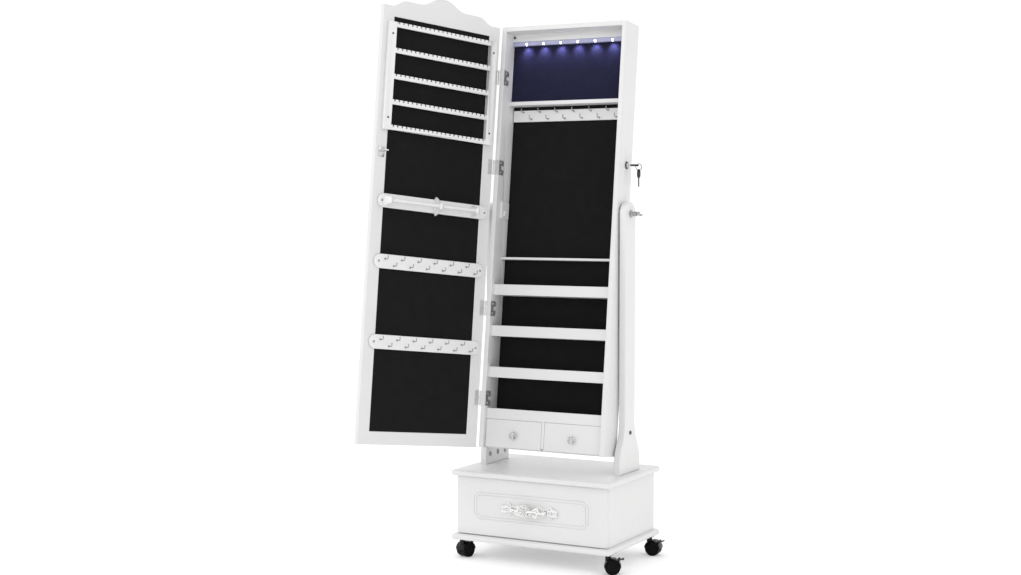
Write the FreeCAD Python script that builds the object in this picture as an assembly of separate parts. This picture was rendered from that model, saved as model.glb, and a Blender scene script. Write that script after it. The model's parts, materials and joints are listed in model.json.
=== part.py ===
import FreeCAD, Part
import math
import os

from FreeCAD import Vector

# Free-standing jewelry armoire. Millimetres, +Z up, +X to the right of someone facing it, +Y to its back.
# The origin is on the floor, under the middle of the base. The shapes are in the rest stance:
# the cabinet leans back by LEAN and the door stands open by DOOR_OPEN.

# ---------------------------------------------------------------- driving dimensions
LEAN = 6.85                    # cabinet's backward lean, degrees
DOOR_OPEN = 116.0              # door's angle from shut, degrees

BOARD = 15.0                   # thickness of the base's top and bottom boards
BOARD_WIDTH = 448.0
BOARD_DEPTH = 314.0
BOARD_ROUND = 6.5              # rounding of the boards' edges
CASTER_HEIGHT = 50.0
BOX_WIDTH = 423.0
BOX_HEIGHT = 150.0
BOX_BACK = 144.0               # Y of the base box's back face
PANEL = 12.0                   # side panels, back panel and drawer front

UPRIGHT_INNER = 182.0          # X of the uprights' inner faces
UPRIGHT_THICK = 18.0
UPRIGHT_Y = 17.0               # Y of the uprights' middle
UPRIGHT_HALF = 30.0            # half width of the stem
FOOT_HALF = 62.0               # half width of the bell-shaped foot
FOOT_STRAIGHT = 20.0           # upright part at the foot's bottom
FOOT_TOP = 360.0               # Z where the bell meets the stem
PIVOT_Z = 885.0
PIVOT_R = 4.0
RUN_GAP = 0.05                 # radial clearance of a running fit

CAB_HALF = 178.0               # half the cabinet's outer width
WALL = 12.0
CAB_DEPTH = 76.0
CAB_LOW = -611.0               # from the pivot's height
CAB_HIGH = 486.0
PIVOT_DEPTH = 38.0             # pivot behind the cabinet's front plane
BACK_THICK = 6.0

HINGE_X = -180.0
HINGE_Y = -2.5
HINGE_HEIGHTS = (353.0, 117.0, -251.0, -484.0)
HINGE_LENGTH = 38.0
DOOR_INNER = -5.0              # depth of the shut door's inner face
DOOR_THICK = 15.0
DOOR_LOW = -612.0
DOOR_SHOULDER = 484.0
DOOR_SHELF = 502.0
DOOR_PEAK = 526.0
PANEL_HALF = 145.0             # half width of the door's lined opening
PANEL_LOW = -579.0
PANEL_HIGH = 457.0
FITTING_HALF = 163.5           # half length of the fittings on the door

SHELF_PITCH = 107.0
SHELF_TOP = -215.0             # underside of the highest lipped shelf
SHELF_COUNT = 4
LIP_HEIGHT = 27.5
LOCK_Y = 45.0
LOCK_Z = 124.0

WHEEL_R = 19.0
TRAIL = 11.0
CASTER_X = 207.0
CASTER_Y = 127.0
CASTERS = {                    # corner: (X sign, Y sign, heading of the trailing side in degrees)
    "front_right": (1, -1, 25.0),
    "back_right": (1, 1, 5.0),
    "front_left": (-1, -1, 70.0),
    "back_left": (-1, 1, 40.0),
}

# ---------------------------------------------------------------- values worked out from them
INNER = CAB_HALF - WALL
BOX_LOW = CASTER_HEIGHT + BOARD
BOX_HIGH = BOX_LOW + BOX_HEIGHT
TABLE = BOX_HIGH + BOARD       # top face of the base
BOX_HALF = BOX_WIDTH / 2
BOX_FRONT = -BOX_BACK - 1.0    # Y of the drawer front's face
BACK_FACE = CAB_DEPTH - BACK_THICK
UPRIGHT_OUTER = UPRIGHT_INNER + UPRIGHT_THICK
X_AXIS = Vector(1, 0, 0)
Y_AXIS = Vector(0, 1, 0)
Z_AXIS = Vector(0, 0, 1)
ORIGIN = Vector(0, 0, 0)


# ---------------------------------------------------------------- small helpers
def block(x, y, z):
    """A box between the low and the high value on each axis."""
    return Part.makeBox(x[1] - x[0], y[1] - y[0], z[1] - z[0], Vector(x[0], y[0], z[0]))


def about(centre, half):
    """The low and high values half to each side of a centre."""
    return (centre - half, centre + half)


def rod(start, axis, length, radius):
    return Part.makeCylinder(radius, length, Vector(*start), axis)


def tube(start, axis, length, radius, bore):
    return rod(start, axis, length, radius).cut(rod(start, axis, length, bore))


def fused(shapes):
    """One solid from overlapping shapes."""
    return shapes[0].multiFuse(shapes[1:]).removeSplitter() if len(shapes) > 1 else shapes[0]


def mirrored(shape):
    """The same piece on the other side of the middle plane X = 0."""
    return shape.mirror(ORIGIN, X_AXIS)


def moved(shape, offset):
    copy = shape.copy()
    copy.translate(Vector(*offset))
    return copy


def lean(shape):
    """Takes a piece from the cabinet's own frame to where the leaning cabinet holds it.

    In the cabinet's frame Y is 0 at its front plane and Z is 0 at the pivot.
    """
    copy = moved(shape, (0, -PIVOT_DEPTH, 0))
    copy.rotate(ORIGIN, X_AXIS, -LEAN)
    copy.translate(Vector(0, UPRIGHT_Y, PIVOT_Z))
    return copy


def swing(shape):
    """Takes a piece of the shut door to where the open door holds it."""
    copy = shape.copy()
    copy.rotate(Vector(HINGE_X, HINGE_Y, 0), Z_AXIS, -DOOR_OPEN)
    return lean(copy)


def stay(shape):
    return shape


def save(name, solids, place=stay):
    """Writes one node from a solid or a list of solids."""
    pieces = solids if isinstance(solids, list) else [solids]
    shape = Part.makeCompound([place(piece) for piece in pieces])
    shape.exportStep("parts/" + name + ".step")


def s_curve(start, end, tangent):
    """Two equal arcs from start to end that leave and arrive along the tangent axis, as 2D points.

    Returns the first arc's middle, the point where the arcs meet, and the second arc's middle.
    """
    other = 1 - tangent
    run = end[tangent] - start[tangent]
    step = end[other] - start[other]
    turn = 2 * math.atan(abs(step / run))
    radius = abs(run) / (2 * math.sin(turn))
    along = math.copysign(radius * math.sin(turn / 2), run)
    across = math.copysign(radius * (1 - math.cos(turn / 2)), step)

    def point(base, sign):
        values = [0.0, 0.0]
        values[tangent] = base[tangent] + sign * along
        values[other] = base[other] + sign * across
        return tuple(values)

    middle = ((start[0] + end[0]) / 2, (start[1] + end[1]) / 2)
    return point(start, 1), middle, point(end, -1)


def curve_edges(start, end, tangent, to_3d):
    first, middle, second = s_curve(start, end, tangent)
    arcs = ((start, first, middle), (middle, second, end))
    return [Part.Arc(*[to_3d(p) for p in arc]).toShape() for arc in arcs]


def line_edge(start, end, to_3d):
    return Part.LineSegment(to_3d(start), to_3d(end)).toShape()


def prism(edges, direction):
    return Part.Face(Part.Wire(edges)).extrude(direction)


def polygon_prism(points, direction):
    corners = [Vector(*point) for point in points]
    return Part.Face(Part.makePolygon(corners + corners[:1])).extrude(direction)


def stadium(half_length, half_height, front, back, middle_z):
    """A bar with round ends, lying along X."""
    straight = half_length - half_height
    depth = back - front
    middle = block((-straight, straight), (front, back), about(middle_z, half_height))
    ends = [rod((x, front, middle_z), Y_AXIS, depth, half_height) for x in (-straight, straight)]
    return fused([middle] + ends)


def peg_hook(x, y, z):
    """A bent wire hook that leaves a face towards -Y or +Y and turns up. See HOOK_REACH for its size."""
    wire_r = 1.1
    bend = 2.5
    reach = 14.0
    rise = 7.0
    near = Vector(x, y, z)
    corner = y + reach - bend
    path = Part.Wire([
        Part.LineSegment(near, Vector(x, corner, z)).toShape(),
        Part.Arc(
            Vector(x, corner, z),
            Vector(x, corner + bend * math.sin(math.pi / 4), z + bend * (1 - math.cos(math.pi / 4))),
            Vector(x, y + reach, z + bend),
        ).toShape(),
        Part.LineSegment(Vector(x, y + reach, z + bend), Vector(x, y + reach, z + rise)).toShape(),
    ])
    section = Part.Wire(Part.makeCircle(wire_r, near, Y_AXIS))
    return path.makePipeShell([section], True, True)


# ---------------------------------------------------------------- base
def base_board(low):
    board = block(about(0, BOARD_WIDTH / 2), about(0, BOARD_DEPTH / 2), (low, low + BOARD))
    return board.makeFillet(BOARD_ROUND, board.Edges)


def base_bottom_board():
    board = base_board(CASTER_HEIGHT)
    for sx, sy, _ in CASTERS.values():
        board = board.cut(rod((sx * CASTER_X, sy * CASTER_Y, CASTER_HEIGHT - 1), Z_AXIS,
                              SLEEVE_LENGTH + 1, SLEEVE_R))
    return board


def base_walls():
    """Two side panels and the back panel between them."""
    side = block((BOX_HALF - PANEL, BOX_HALF), (BOX_FRONT + PANEL + 1, BOX_BACK), (BOX_LOW, BOX_HIGH))
    back = block(about(0, BOX_HALF - PANEL), (BOX_BACK - PANEL, BOX_BACK), (BOX_LOW, BOX_HIGH))
    return [side, mirrored(side), back]


RUNNER_WIDTH = 14.0
RUNNER_HEIGHT = 11.0
DRAWER_WALL = 10.0
DRAWER_TAIL = 118.0            # Y of the drawer box's back face
DRAWER_TOP = 196.0
DRAWER_FLOOR = 4.0


def drawer_runners():
    outer = BOX_HALF - PANEL
    runner = block((outer - RUNNER_WIDTH, outer), (BOX_FRONT + PANEL + 4, BOX_BACK - PANEL),
                   (BOX_LOW, BOX_LOW + RUNNER_HEIGHT))
    return [runner, mirrored(runner)]


def octagon(half_width, low, high, clip, y):
    """Corners of a panel outline with clipped corners, in the plane at depth y."""
    x = half_width
    corners = ((x - clip, low), (x, low + clip), (x, high - clip), (x - clip, high))
    right = [(px, y, pz) for px, pz in corners]
    left = [(-px, y, pz) for px, pz in reversed(corners)]
    return right + left


def base_drawer_front():
    """The overlay front, with a double routed line round its middle."""
    groove_width = 2.0
    groove_depth = 1.2
    line_gap = 7.0
    clip = 14.0
    reveal = 1.5
    front = block(about(0, BOX_HALF), (BOX_FRONT, BOX_FRONT + PANEL), (BOX_LOW + reveal, BOX_HIGH - reveal))
    front = front.makeFillet(reveal, [e for e in front.Edges if e.BoundBox.YMax < BOX_FRONT + 1])
    inward = Vector(0, groove_depth + 1, 0)
    for inset in (0.0, line_gap):
        corner = clip - inset * (2 - math.sqrt(2))
        outline = (162.0 - inset, 107.0 + inset, 178.0 - inset, corner, BOX_FRONT - 1)
        inner = tuple(v + d for v, d in zip(outline, (-groove_width, groove_width, -groove_width, -1, 0)))
        ring = polygon_prism(octagon(*outline), inward).cut(polygon_prism(octagon(*inner), inward))
        front = front.cut(ring)
    return front


def base_drawer_box():
    """Two sides, a back and a floor behind the front."""
    head = BOX_FRONT + PANEL
    low = BOX_LOW + RUNNER_HEIGHT + 0.5
    outer = BOX_HALF - PANEL - 2.5
    inner = outer - DRAWER_WALL
    side = block((inner, outer), (head, DRAWER_TAIL), (low, DRAWER_TOP))
    floor = block(about(0, inner), (head, DRAWER_TAIL - DRAWER_WALL), (low + 3, low + 3 + DRAWER_FLOOR))
    back = block(about(0, inner), (DRAWER_TAIL - DRAWER_WALL, DRAWER_TAIL), (low, DRAWER_TOP))
    return [side, mirrored(side), floor, back]


PULL_Z = 140.0
PULL_HALF = 85.0
PULL_MIDDLE = -2.0
PULL_REACH = 22.0
POST_X = 46.0


def base_drawer_pull():
    """A bow pull: a pointed backplate, two posts, a tapered grip and a rose in its middle."""
    plate = 3.0
    plate_half = 18.0
    grip_y = BOX_FRONT - PULL_REACH + 6

    def flat(point):
        return Vector(PULL_MIDDLE + point[0], BOX_FRONT - plate, PULL_Z + point[1])

    tip = PULL_HALF
    upper = Part.Arc(flat((-tip, 0)), flat((0, plate_half)), flat((tip, 0))).toShape()
    lower = Part.Arc(flat((tip, 0)), flat((0, -plate_half)), flat((-tip, 0))).toShape()
    pieces = [prism([upper, lower], Vector(0, plate, 0))]
    for side in (-1, 1):
        x = PULL_MIDDLE + side * POST_X
        pieces.append(rod((x, grip_y, PULL_Z), Y_AXIS, BOX_FRONT - grip_y, 4.5))
        pieces.append(Part.makeSphere(6.0, Vector(x, grip_y, PULL_Z)))
        pieces.append(Part.makeCone(4.5, 7.5, POST_X, Vector(x, grip_y, PULL_Z), Vector(-side, 0, 0)))
    pieces.append(rod((PULL_MIDDLE, grip_y - 6, PULL_Z + 1), Y_AXIS, 12, 13.0))
    return fused(pieces)


# ---------------------------------------------------------------- casters
SLEEVE_R = 6.5
SLEEVE_LENGTH = 13.0
STEM_R = 4.0
FLANGE = 3.0
WHEEL_WIDTH = 13.5
WEB = 3.0
AXLE_R = 2.5
HOOD_INNER = 19.9
HOOD_OUTER = 21.8
HOOD_HALF = 15.8
BRAKE_ANGLE = 48.0
BRAKE_PIN_R = 1.0
BRAKE_BARREL_R = 2.2
BRAKE_OUT = HOOD_OUTER + BRAKE_BARREL_R + 0.4
BRAKE_X = TRAIL + BRAKE_OUT * math.cos(math.radians(BRAKE_ANGLE))
BRAKE_Z = WHEEL_R + BRAKE_OUT * math.sin(math.radians(BRAKE_ANGLE))
EAR_INNER = 6.3
EAR_THICK = 2.0


def caster_socket(sx, sy):
    """The flange under the board and the sleeve that holds the caster's stem."""
    x = sx * CASTER_X
    y = sy * CASTER_Y
    flange = rod((x, y, CASTER_HEIGHT - FLANGE), Z_AXIS, FLANGE, 13.0)
    sleeve = rod((x, y, CASTER_HEIGHT - 1), Z_AXIS, SLEEVE_LENGTH + 1, SLEEVE_R)
    bore = rod((x, y, CASTER_HEIGHT - FLANGE - 1), Z_AXIS, SLEEVE_LENGTH + FLANGE + 0.5, STEM_R + RUN_GAP)
    return flange.fuse(sleeve).cut(bore)


def caster_hood():
    """Stem, fender over the wheels' upper half, web with the axle, and the brake's ears and pin.

    Made with the stem on the Z axis and the wheels trailing along +X.
    """
    width = 2 * HOOD_HALF
    boss_top = CASTER_HEIGHT - FLANGE - 0.5
    fender = rod((TRAIL, -HOOD_HALF, WHEEL_R), Y_AXIS, width, HOOD_OUTER)
    below = block(about(TRAIL, 40), about(0, 40), (-40, WHEEL_R + 1))
    fender = fender.cut(below)
    boss = rod((0, 0, WHEEL_R + 8), Z_AXIS, boss_top - WHEEL_R - 8, 7.0)
    shell = fender.fuse(boss).cut(rod((TRAIL, -40, WHEEL_R), Y_AXIS, 80, HOOD_INNER))
    web = rod((TRAIL, -WEB / 2, WHEEL_R), Y_AXIS, WEB, HOOD_INNER + 0.5)
    web = web.cut(block(about(TRAIL, 40), about(0, 40), (-40, WHEEL_R - 6)))
    axle = rod((TRAIL, 0.6 - HOOD_HALF, WHEEL_R), Y_AXIS, width - 1.2, AXLE_R)
    stem = rod((0, 0, boss_top - 2), Z_AXIS, 2 + FLANGE + SLEEVE_LENGTH - 1.5, STEM_R)
    pin = rod((BRAKE_X, -EAR_INNER - EAR_THICK, BRAKE_Z), Y_AXIS, 2 * (EAR_INNER + EAR_THICK), BRAKE_PIN_R)
    ears = [rod((BRAKE_X, y, BRAKE_Z), Y_AXIS, EAR_THICK, 3.4) for y in (-EAR_INNER - EAR_THICK, EAR_INNER)]
    return fused([shell, web, axle, stem, pin] + ears)


def caster_wheels():
    """The twin wheels, one each side of the hood's web."""
    inner = WEB / 2 + 0.3
    wheel = rod((TRAIL, inner, WHEEL_R), Y_AXIS, WHEEL_WIDTH, WHEEL_R)
    rim = [e for e in wheel.Edges if isinstance(e.Curve, Part.Circle)]
    wheel = wheel.makeFillet(1.6, rim)
    wheel = wheel.cut(tube((TRAIL, inner + WHEEL_WIDTH - 2, WHEEL_R), Y_AXIS, 5, 14.5, 6.0))
    wheel = wheel.cut(rod((TRAIL, 0, WHEEL_R), Y_AXIS, 20, AXLE_R + RUN_GAP))
    return [wheel, wheel.mirror(ORIGIN, Y_AXIS)]


def caster_brake():
    """The foot lever, hinged on the pin behind the fender."""
    length = 12.0
    thick = 2.4
    half = EAR_INNER - 0.3
    barrel = rod((BRAKE_X, -half, BRAKE_Z), Y_AXIS, 2 * half, BRAKE_BARREL_R)
    arm = block((BRAKE_X, BRAKE_X + length), about(0, half), (BRAKE_Z - 0.2, BRAKE_Z - 0.2 + thick))
    pad = block((BRAKE_X + 4.2, BRAKE_X + length), about(0, EAR_INNER + 2.7),
                (BRAKE_Z - 0.2, BRAKE_Z - 0.2 + thick))
    bore = rod((BRAKE_X, -half - 1, BRAKE_Z), Y_AXIS, 2 * half + 2, BRAKE_PIN_R + RUN_GAP)
    return fused([barrel, arm, pad]).cut(bore)


def at_corner(sx, sy, heading):
    """Placement of a caster piece at its corner, turned to its heading."""
    def place(shape):
        copy = shape.copy()
        copy.rotate(ORIGIN, Z_AXIS, heading)
        copy.translate(Vector(sx * CASTER_X, sy * CASTER_Y, 0))
        return copy
    return place


# ---------------------------------------------------------------- uprights
CAM_LOCK_R = 7.5
CAM_LOCK_Z = TABLE + 26.0
CAM_LOCK_PITCH = 40.0
BOLT_Z = 332.0
BOLT_R = 3.0


def upright():
    """The right-hand upright: a bell-shaped foot that narrows to a stem with a round top."""
    def at(point):
        return Vector(UPRIGHT_INNER, UPRIGHT_Y + point[0], point[1])

    edges = []
    for side in (1, -1):
        bottom = (side * FOOT_HALF, TABLE)
        shoulder = (side * FOOT_HALF, TABLE + FOOT_STRAIGHT)
        neck = (side * UPRIGHT_HALF, FOOT_TOP)
        edges.append(line_edge(bottom, shoulder, at))
        edges += curve_edges(shoulder, neck, 1, at)
        edges.append(line_edge(neck, (side * UPRIGHT_HALF, PIVOT_Z), at))
    edges.append(line_edge((FOOT_HALF, TABLE), (-FOOT_HALF, TABLE), at))
    crown = [(UPRIGHT_HALF, PIVOT_Z), (0, PIVOT_Z + UPRIGHT_HALF), (-UPRIGHT_HALF, PIVOT_Z)]
    edges.append(Part.Arc(*[at(p) for p in crown]).toShape())
    body = Part.Face(Part.Wire(Part.__sortEdges__(edges))).extrude(Vector(UPRIGHT_THICK, 0, 0))
    start = UPRIGHT_INNER - 1
    body = body.cut(rod((start, UPRIGHT_Y, PIVOT_Z), X_AXIS, UPRIGHT_THICK + 2, PIVOT_R + RUN_GAP))
    body = body.cut(rod((start, UPRIGHT_Y, BOLT_Z), X_AXIS, UPRIGHT_THICK + 2, BOLT_R + RUN_GAP))
    for step in (-1, 0, 1):
        y = UPRIGHT_Y + step * CAM_LOCK_PITCH
        body = body.cut(rod((start, y, CAM_LOCK_Z), X_AXIS, 13.0, CAM_LOCK_R + RUN_GAP))
    return body


def upright_fasteners():
    """Three cam locks in each foot and one through bolt above them."""
    right = []
    for step in (-1, 0, 1):
        lock = rod((UPRIGHT_INNER + 0.2, UPRIGHT_Y + step * CAM_LOCK_PITCH, CAM_LOCK_Z), X_AXIS, 11.5, CAM_LOCK_R)
        slot = block((UPRIGHT_INNER, UPRIGHT_INNER + 1.4),
                     about(UPRIGHT_Y + step * CAM_LOCK_PITCH, 4.5), about(CAM_LOCK_Z, 0.8))
        right.append(lock.cut(slot))
    shank = rod((UPRIGHT_INNER + 0.5, UPRIGHT_Y, BOLT_Z), X_AXIS, UPRIGHT_THICK, BOLT_R)
    head = rod((UPRIGHT_OUTER, UPRIGHT_Y, BOLT_Z), X_AXIS, 3.0, 5.0)
    right.append(shank.fuse(head))
    return right + [mirrored(piece) for piece in right]


# ---------------------------------------------------------------- tilt pivot (cabinet's frame)
KNOB_TIP = 229.0
BOLT_TIP = 213.5


def pivot_fittings():
    """On each side: an inner plate, a bolt through case and upright, and a washer between them."""
    side = []
    hole = rod((INNER - 10, PIVOT_DEPTH, 0), X_AXIS, 30, PIVOT_R + RUN_GAP)
    plate = block((INNER - 5, INNER), (20, 60), (-14, 30))
    side.append(plate.cut(hole))
    bolt = rod((INNER - 6, PIVOT_DEPTH, 0), X_AXIS, BOLT_TIP - INNER + 6, PIVOT_R)
    head = rod((INNER - 9, PIVOT_DEPTH, 0), X_AXIS, 4.0, 7.0)
    side.append(fused([bolt, head]))
    side.append(tube((CAB_HALF, PIVOT_DEPTH, 0), X_AXIS, 3.6, 14.0, PIVOT_R + RUN_GAP))
    return side + [mirrored(piece) for piece in side]


def tilt_knob():
    """Right-hand clamp knob: a flange, a hub and a flat wing, left nearly level."""
    wing_turn = 75.0
    flange = rod((UPRIGHT_OUTER + 0.4, PIVOT_DEPTH, 0), X_AXIS, 2.6, 9.5)
    hub = rod((UPRIGHT_OUTER + 2, PIVOT_DEPTH, 0), X_AXIS, 14, 6.5)
    wing = block((UPRIGHT_OUTER + 7, KNOB_TIP), about(PIVOT_DEPTH, 2.5), about(0, 12))
    wing = wing.makeFillet(5.0, [e for e in wing.Edges if e.BoundBox.XMin > KNOB_TIP - 1 and e.BoundBox.YLength > 4])
    wing.rotate(Vector(0, PIVOT_DEPTH, 0), X_AXIS, wing_turn)
    bore = rod((UPRIGHT_OUTER - 1, PIVOT_DEPTH, 0), X_AXIS, BOLT_TIP + 0.5 - UPRIGHT_OUTER + 1, PIVOT_R + RUN_GAP)
    return fused([flange, hub, wing]).cut(bore)


# ---------------------------------------------------------------- cabinet (cabinet's frame)
def cabinet_side():
    """Right side panel, bored for the pivot bolt."""
    side = block((INNER, CAB_HALF), (0, CAB_DEPTH), (CAB_LOW, CAB_HIGH))
    return side.cut(rod((INNER - 1, PIVOT_DEPTH, 0), X_AXIS, WALL + 2, PIVOT_R + RUN_GAP))


def lock_hole():
    return rod((INNER - 1, LOCK_Y, LOCK_Z), X_AXIS, WALL + 2, LOCK_BARREL_R + RUN_GAP)


def cabinet_plate(front, back, low, high):
    """A board that spans the case from side to side."""
    return block(about(0, INNER), (front, back), (low, high))


FLOOR_THICK = 7.0
LINING = 4.0
LAMP_WALL_Y = 48.0
HOOK_WALL_Y = 66.0
BAY_WALL_Y = 62.5
RAIL_Y = 38.0
RAIL_Z = 285.0
RAIL_THICK = 10.0
THIN_SHELF_Y = 43.0
THIN_SHELF_Z = -120.0
SHELF_THICK = 6.0
CORNICE_Y = 37.0
CORNICE_Z = 454.0
CASE_TOP = CAB_HIGH - WALL
CASE_FLOOR = CAB_LOW + FLOOR_THICK


def velvet_lining():
    """The three velvet-covered boards: behind the lamps, behind the hooks, and behind the bays."""
    return [
        cabinet_plate(LAMP_WALL_Y, LAMP_WALL_Y + LINING, RAIL_Z + RAIL_THICK, CORNICE_Z),
        cabinet_plate(HOOK_WALL_Y, BACK_FACE, THIN_SHELF_Z + SHELF_THICK, RAIL_Z),
        cabinet_plate(BAY_WALL_Y, BACK_FACE, CASE_FLOOR, THIN_SHELF_Z),
    ]


SENSOR_X = -160.0
SENSOR_Z = 465.0
SENSOR_R = 3.5


def light_cornice():
    """The fascia under the cabinet's top and the board behind it that carries the light."""
    fascia = cabinet_plate(CORNICE_Y, CORNICE_Y + 3, CORNICE_Z, CASE_TOP)
    fascia = fascia.cut(rod((SENSOR_X, CORNICE_Y - 1, SENSOR_Z), Y_AXIS, 6, SENSOR_R + RUN_GAP))
    carrier = cabinet_plate(CORNICE_Y + 3, BACK_FACE, CORNICE_Z, CORNICE_Z + 3)
    return fused([fascia, carrier])


LAMP_PITCH = 49.5
LAMP_COUNT = 6
LAMP_R = 4.5


def light_strip():
    """The light bar under the cornice, with its row of lamps."""
    bar = cabinet_plate(RAIL_Y, LAMP_WALL_Y, CORNICE_Z - 11, CORNICE_Z)
    lamps = []
    for index in range(LAMP_COUNT):
        x = (index - (LAMP_COUNT - 1) / 2) * LAMP_PITCH
        lamps.append(rod((x, RAIL_Y - 1.5, CORNICE_Z - 7.5), Y_AXIS, 1.5, LAMP_R).cut(
            block(about(x, 6), (0, 60), (CORNICE_Z - 20, CORNICE_Z - 11))))
    return [bar] + lamps


def battery_box():
    case = block(about(0, 45), (CORNICE_Y + 7, BACK_FACE - 4), (CORNICE_Z + 3, CASE_TOP - 1))
    return case.makeFillet(2.0, case.Edges)


HOOK_STRIP_Y = 61.0
HOOK_STRIP_LOW = 245.0
HOOK_STRIP_HIGH = 275.0
CASE_HOOK_PITCH = 49.0
CASE_HOOK_ROWS = ((-134.0, 270.0), (-109.5, 251.5))
HOOKS_IN_ROW = 6


def cabinet_hooks():
    """Two rows of hooks that point to the cabinet's front."""
    hooks = []
    for start, height in CASE_HOOK_ROWS:
        for index in range(HOOKS_IN_ROW):
            hook = peg_hook(start + index * CASE_HOOK_PITCH, 0, height)
            turned = hook.mirror(ORIGIN, Y_AXIS)
            hooks.append(moved(turned, (0, HOOK_STRIP_Y, 0)))
    return hooks


def lipped_shelves():
    """Four shelves, each a board with an upstanding lip along its front."""
    lip_y = 11.0
    lip_thick = 3.0
    pieces = []
    for index in range(SHELF_COUNT):
        low = SHELF_TOP - index * SHELF_PITCH
        pieces.append(cabinet_plate(lip_y + lip_thick, BAY_WALL_Y, low, low + SHELF_THICK))
        pieces.append(cabinet_plate(lip_y, lip_y + lip_thick, low, low + LIP_HEIGHT))
    return pieces


SMALL_FRONT_Y = 10.5
SMALL_FRONT_THICK = 8.0
SMALL_LOW = CASE_FLOOR - 4.0
SMALL_GAP = 0.5
SMALL_HIGH = SHELF_TOP - (SHELF_COUNT - 1) * SHELF_PITCH - SMALL_GAP
DIVIDER_HALF = 4.0
SMALL_INNER = DIVIDER_HALF + SMALL_GAP
SMALL_OUTER = INNER - SMALL_GAP
SMALL_WALL = 4.0
SMALL_TRAY_HIGH = -548.0
SMALL_KNOB_X = 83.0
SMALL_KNOB_Z = -576.0


def small_drawer():
    """Right-hand small drawer: a front and, behind it, a tray of two sides, a back and a floor."""
    tray_front = SMALL_FRONT_Y + SMALL_FRONT_THICK
    tray_back = BAY_WALL_Y - 2.0
    low = CASE_FLOOR + 1.0
    inner = (SMALL_INNER + 1, SMALL_INNER + 1 + SMALL_WALL)
    outer = (SMALL_OUTER - 1 - SMALL_WALL, SMALL_OUTER - 1)
    between = (inner[1], outer[0])
    return [
        block((SMALL_INNER, SMALL_OUTER), (SMALL_FRONT_Y, tray_front), (SMALL_LOW, SMALL_HIGH)),
        block(inner, (tray_front, tray_back), (low, SMALL_TRAY_HIGH)),
        block(outer, (tray_front, tray_back), (low, SMALL_TRAY_HIGH)),
        block(between, (tray_back - SMALL_WALL, tray_back), (low, SMALL_TRAY_HIGH)),
        block(between, (tray_front, tray_back - SMALL_WALL), (low, low + 3)),
    ]


def drawer_divider():
    """The upright board between the small drawers, with its edge level with their fronts."""
    return block(about(0, DIVIDER_HALF), (SMALL_FRONT_Y, BAY_WALL_Y), (CASE_FLOOR, SMALL_HIGH + SMALL_GAP))


def facet_ring(sides, radius, y):
    """A regular polygon round the knob's axis, at depth y."""
    corners = []
    for index in range(sides + 1):
        angle = 2 * math.pi * (index + 0.5) / sides
        corners.append(Vector(SMALL_KNOB_X + radius * math.cos(angle), y,
                              SMALL_KNOB_Z + radius * math.sin(angle)))
    return Part.makePolygon(corners)


def small_knob():
    """A faceted clear knob on a round stem."""
    sides = 8
    rings = [(5.0, -1.5), (10.5, -4.5), (11.0, -7.0), (7.0, -12.0)]
    wires = [facet_ring(sides, radius, SMALL_FRONT_Y + depth) for radius, depth in rings]
    crystal = Part.makeLoft(wires, True, True)
    stem = rod((SMALL_KNOB_X, SMALL_FRONT_Y - 2, SMALL_KNOB_Z), Y_AXIS, 2, 6.0)
    return fused([crystal, stem])


# ---------------------------------------------------------------- lock (cabinet's frame)
LOCK_BARREL_R = 9.0
CYLINDER_R = 6.0
CAM_X = 158.0
CAM_THICK = 2.5
KEY_HOLE_X = 205.5
KEY_HOLE_R = 3.5
KEY_THICK = 3.4
KEY_LONG = 23.0
KEY_WIDE = 16.0
KEY_TIP = 5.5
BLADE_THICK = 2.4
RING_R = 8.0
RING_WIRE = 0.8
RING_X = 211.5
RING_RISE = 3.4


def lock_housing():
    """Rosette outside, barrel in the wall and nut inside, bored for the cylinder."""
    rosette = rod((CAB_HALF, LOCK_Y, LOCK_Z), X_AXIS, 3, 10.0)
    barrel = rod((INNER - 3, LOCK_Y, LOCK_Z), X_AXIS, WALL + 4, LOCK_BARREL_R)
    nut = rod((INNER - 3.5, LOCK_Y, LOCK_Z), X_AXIS, 3.5, 11.0)
    bore = rod((INNER - 10, LOCK_Y, LOCK_Z), X_AXIS, 40, CYLINDER_R + RUN_GAP)
    return fused([rosette, barrel, nut]).cut(bore)


def key_bow():
    """A key's flat oval head, lying level, with its ring hole at the origin and its blade along -X."""
    half_wide = KEY_WIDE / 2
    straight = (KEY_LONG - KEY_WIDE) / 2
    centre = KEY_TIP - KEY_LONG / 2
    low = -KEY_THICK / 2
    head = fused(
        [block(about(centre, straight), about(0, half_wide), (low, low + KEY_THICK))]
        + [rod((centre + side * straight, 0, low), Z_AXIS, KEY_THICK, half_wide) for side in (-1, 1)]
    )
    return head.cut(rod((0, 0, low - 1), Z_AXIS, KEY_THICK + 2, KEY_HOLE_R))


def lock_key():
    """The lock's cylinder with its hooked cam inside the case and the key in its outer end."""
    arm_half = 4.0
    reach = 34.0
    hook_drop = 8.0
    cylinder = rod((CAM_X, LOCK_Y, LOCK_Z), X_AXIS, CAB_HALF + 3.6 - CAM_X, CYLINDER_R)
    arm = block((CAM_X, CAM_X + CAM_THICK), about(LOCK_Y, arm_half), (LOCK_Z, LOCK_Z + reach))
    hook = block((CAM_X, CAM_X + CAM_THICK), (LOCK_Y - arm_half - hook_drop + 4, LOCK_Y),
                 (LOCK_Z + reach - 4, LOCK_Z + reach))
    head_start = KEY_HOLE_X + KEY_TIP - KEY_LONG
    blade = block((CAB_HALF + 3, head_start + 2), about(LOCK_Y, 3.5), about(LOCK_Z, BLADE_THICK / 2))
    head = moved(key_bow(), (KEY_HOLE_X, LOCK_Y, LOCK_Z))
    return fused([cylinder, arm, hook, blade, head])


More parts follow.
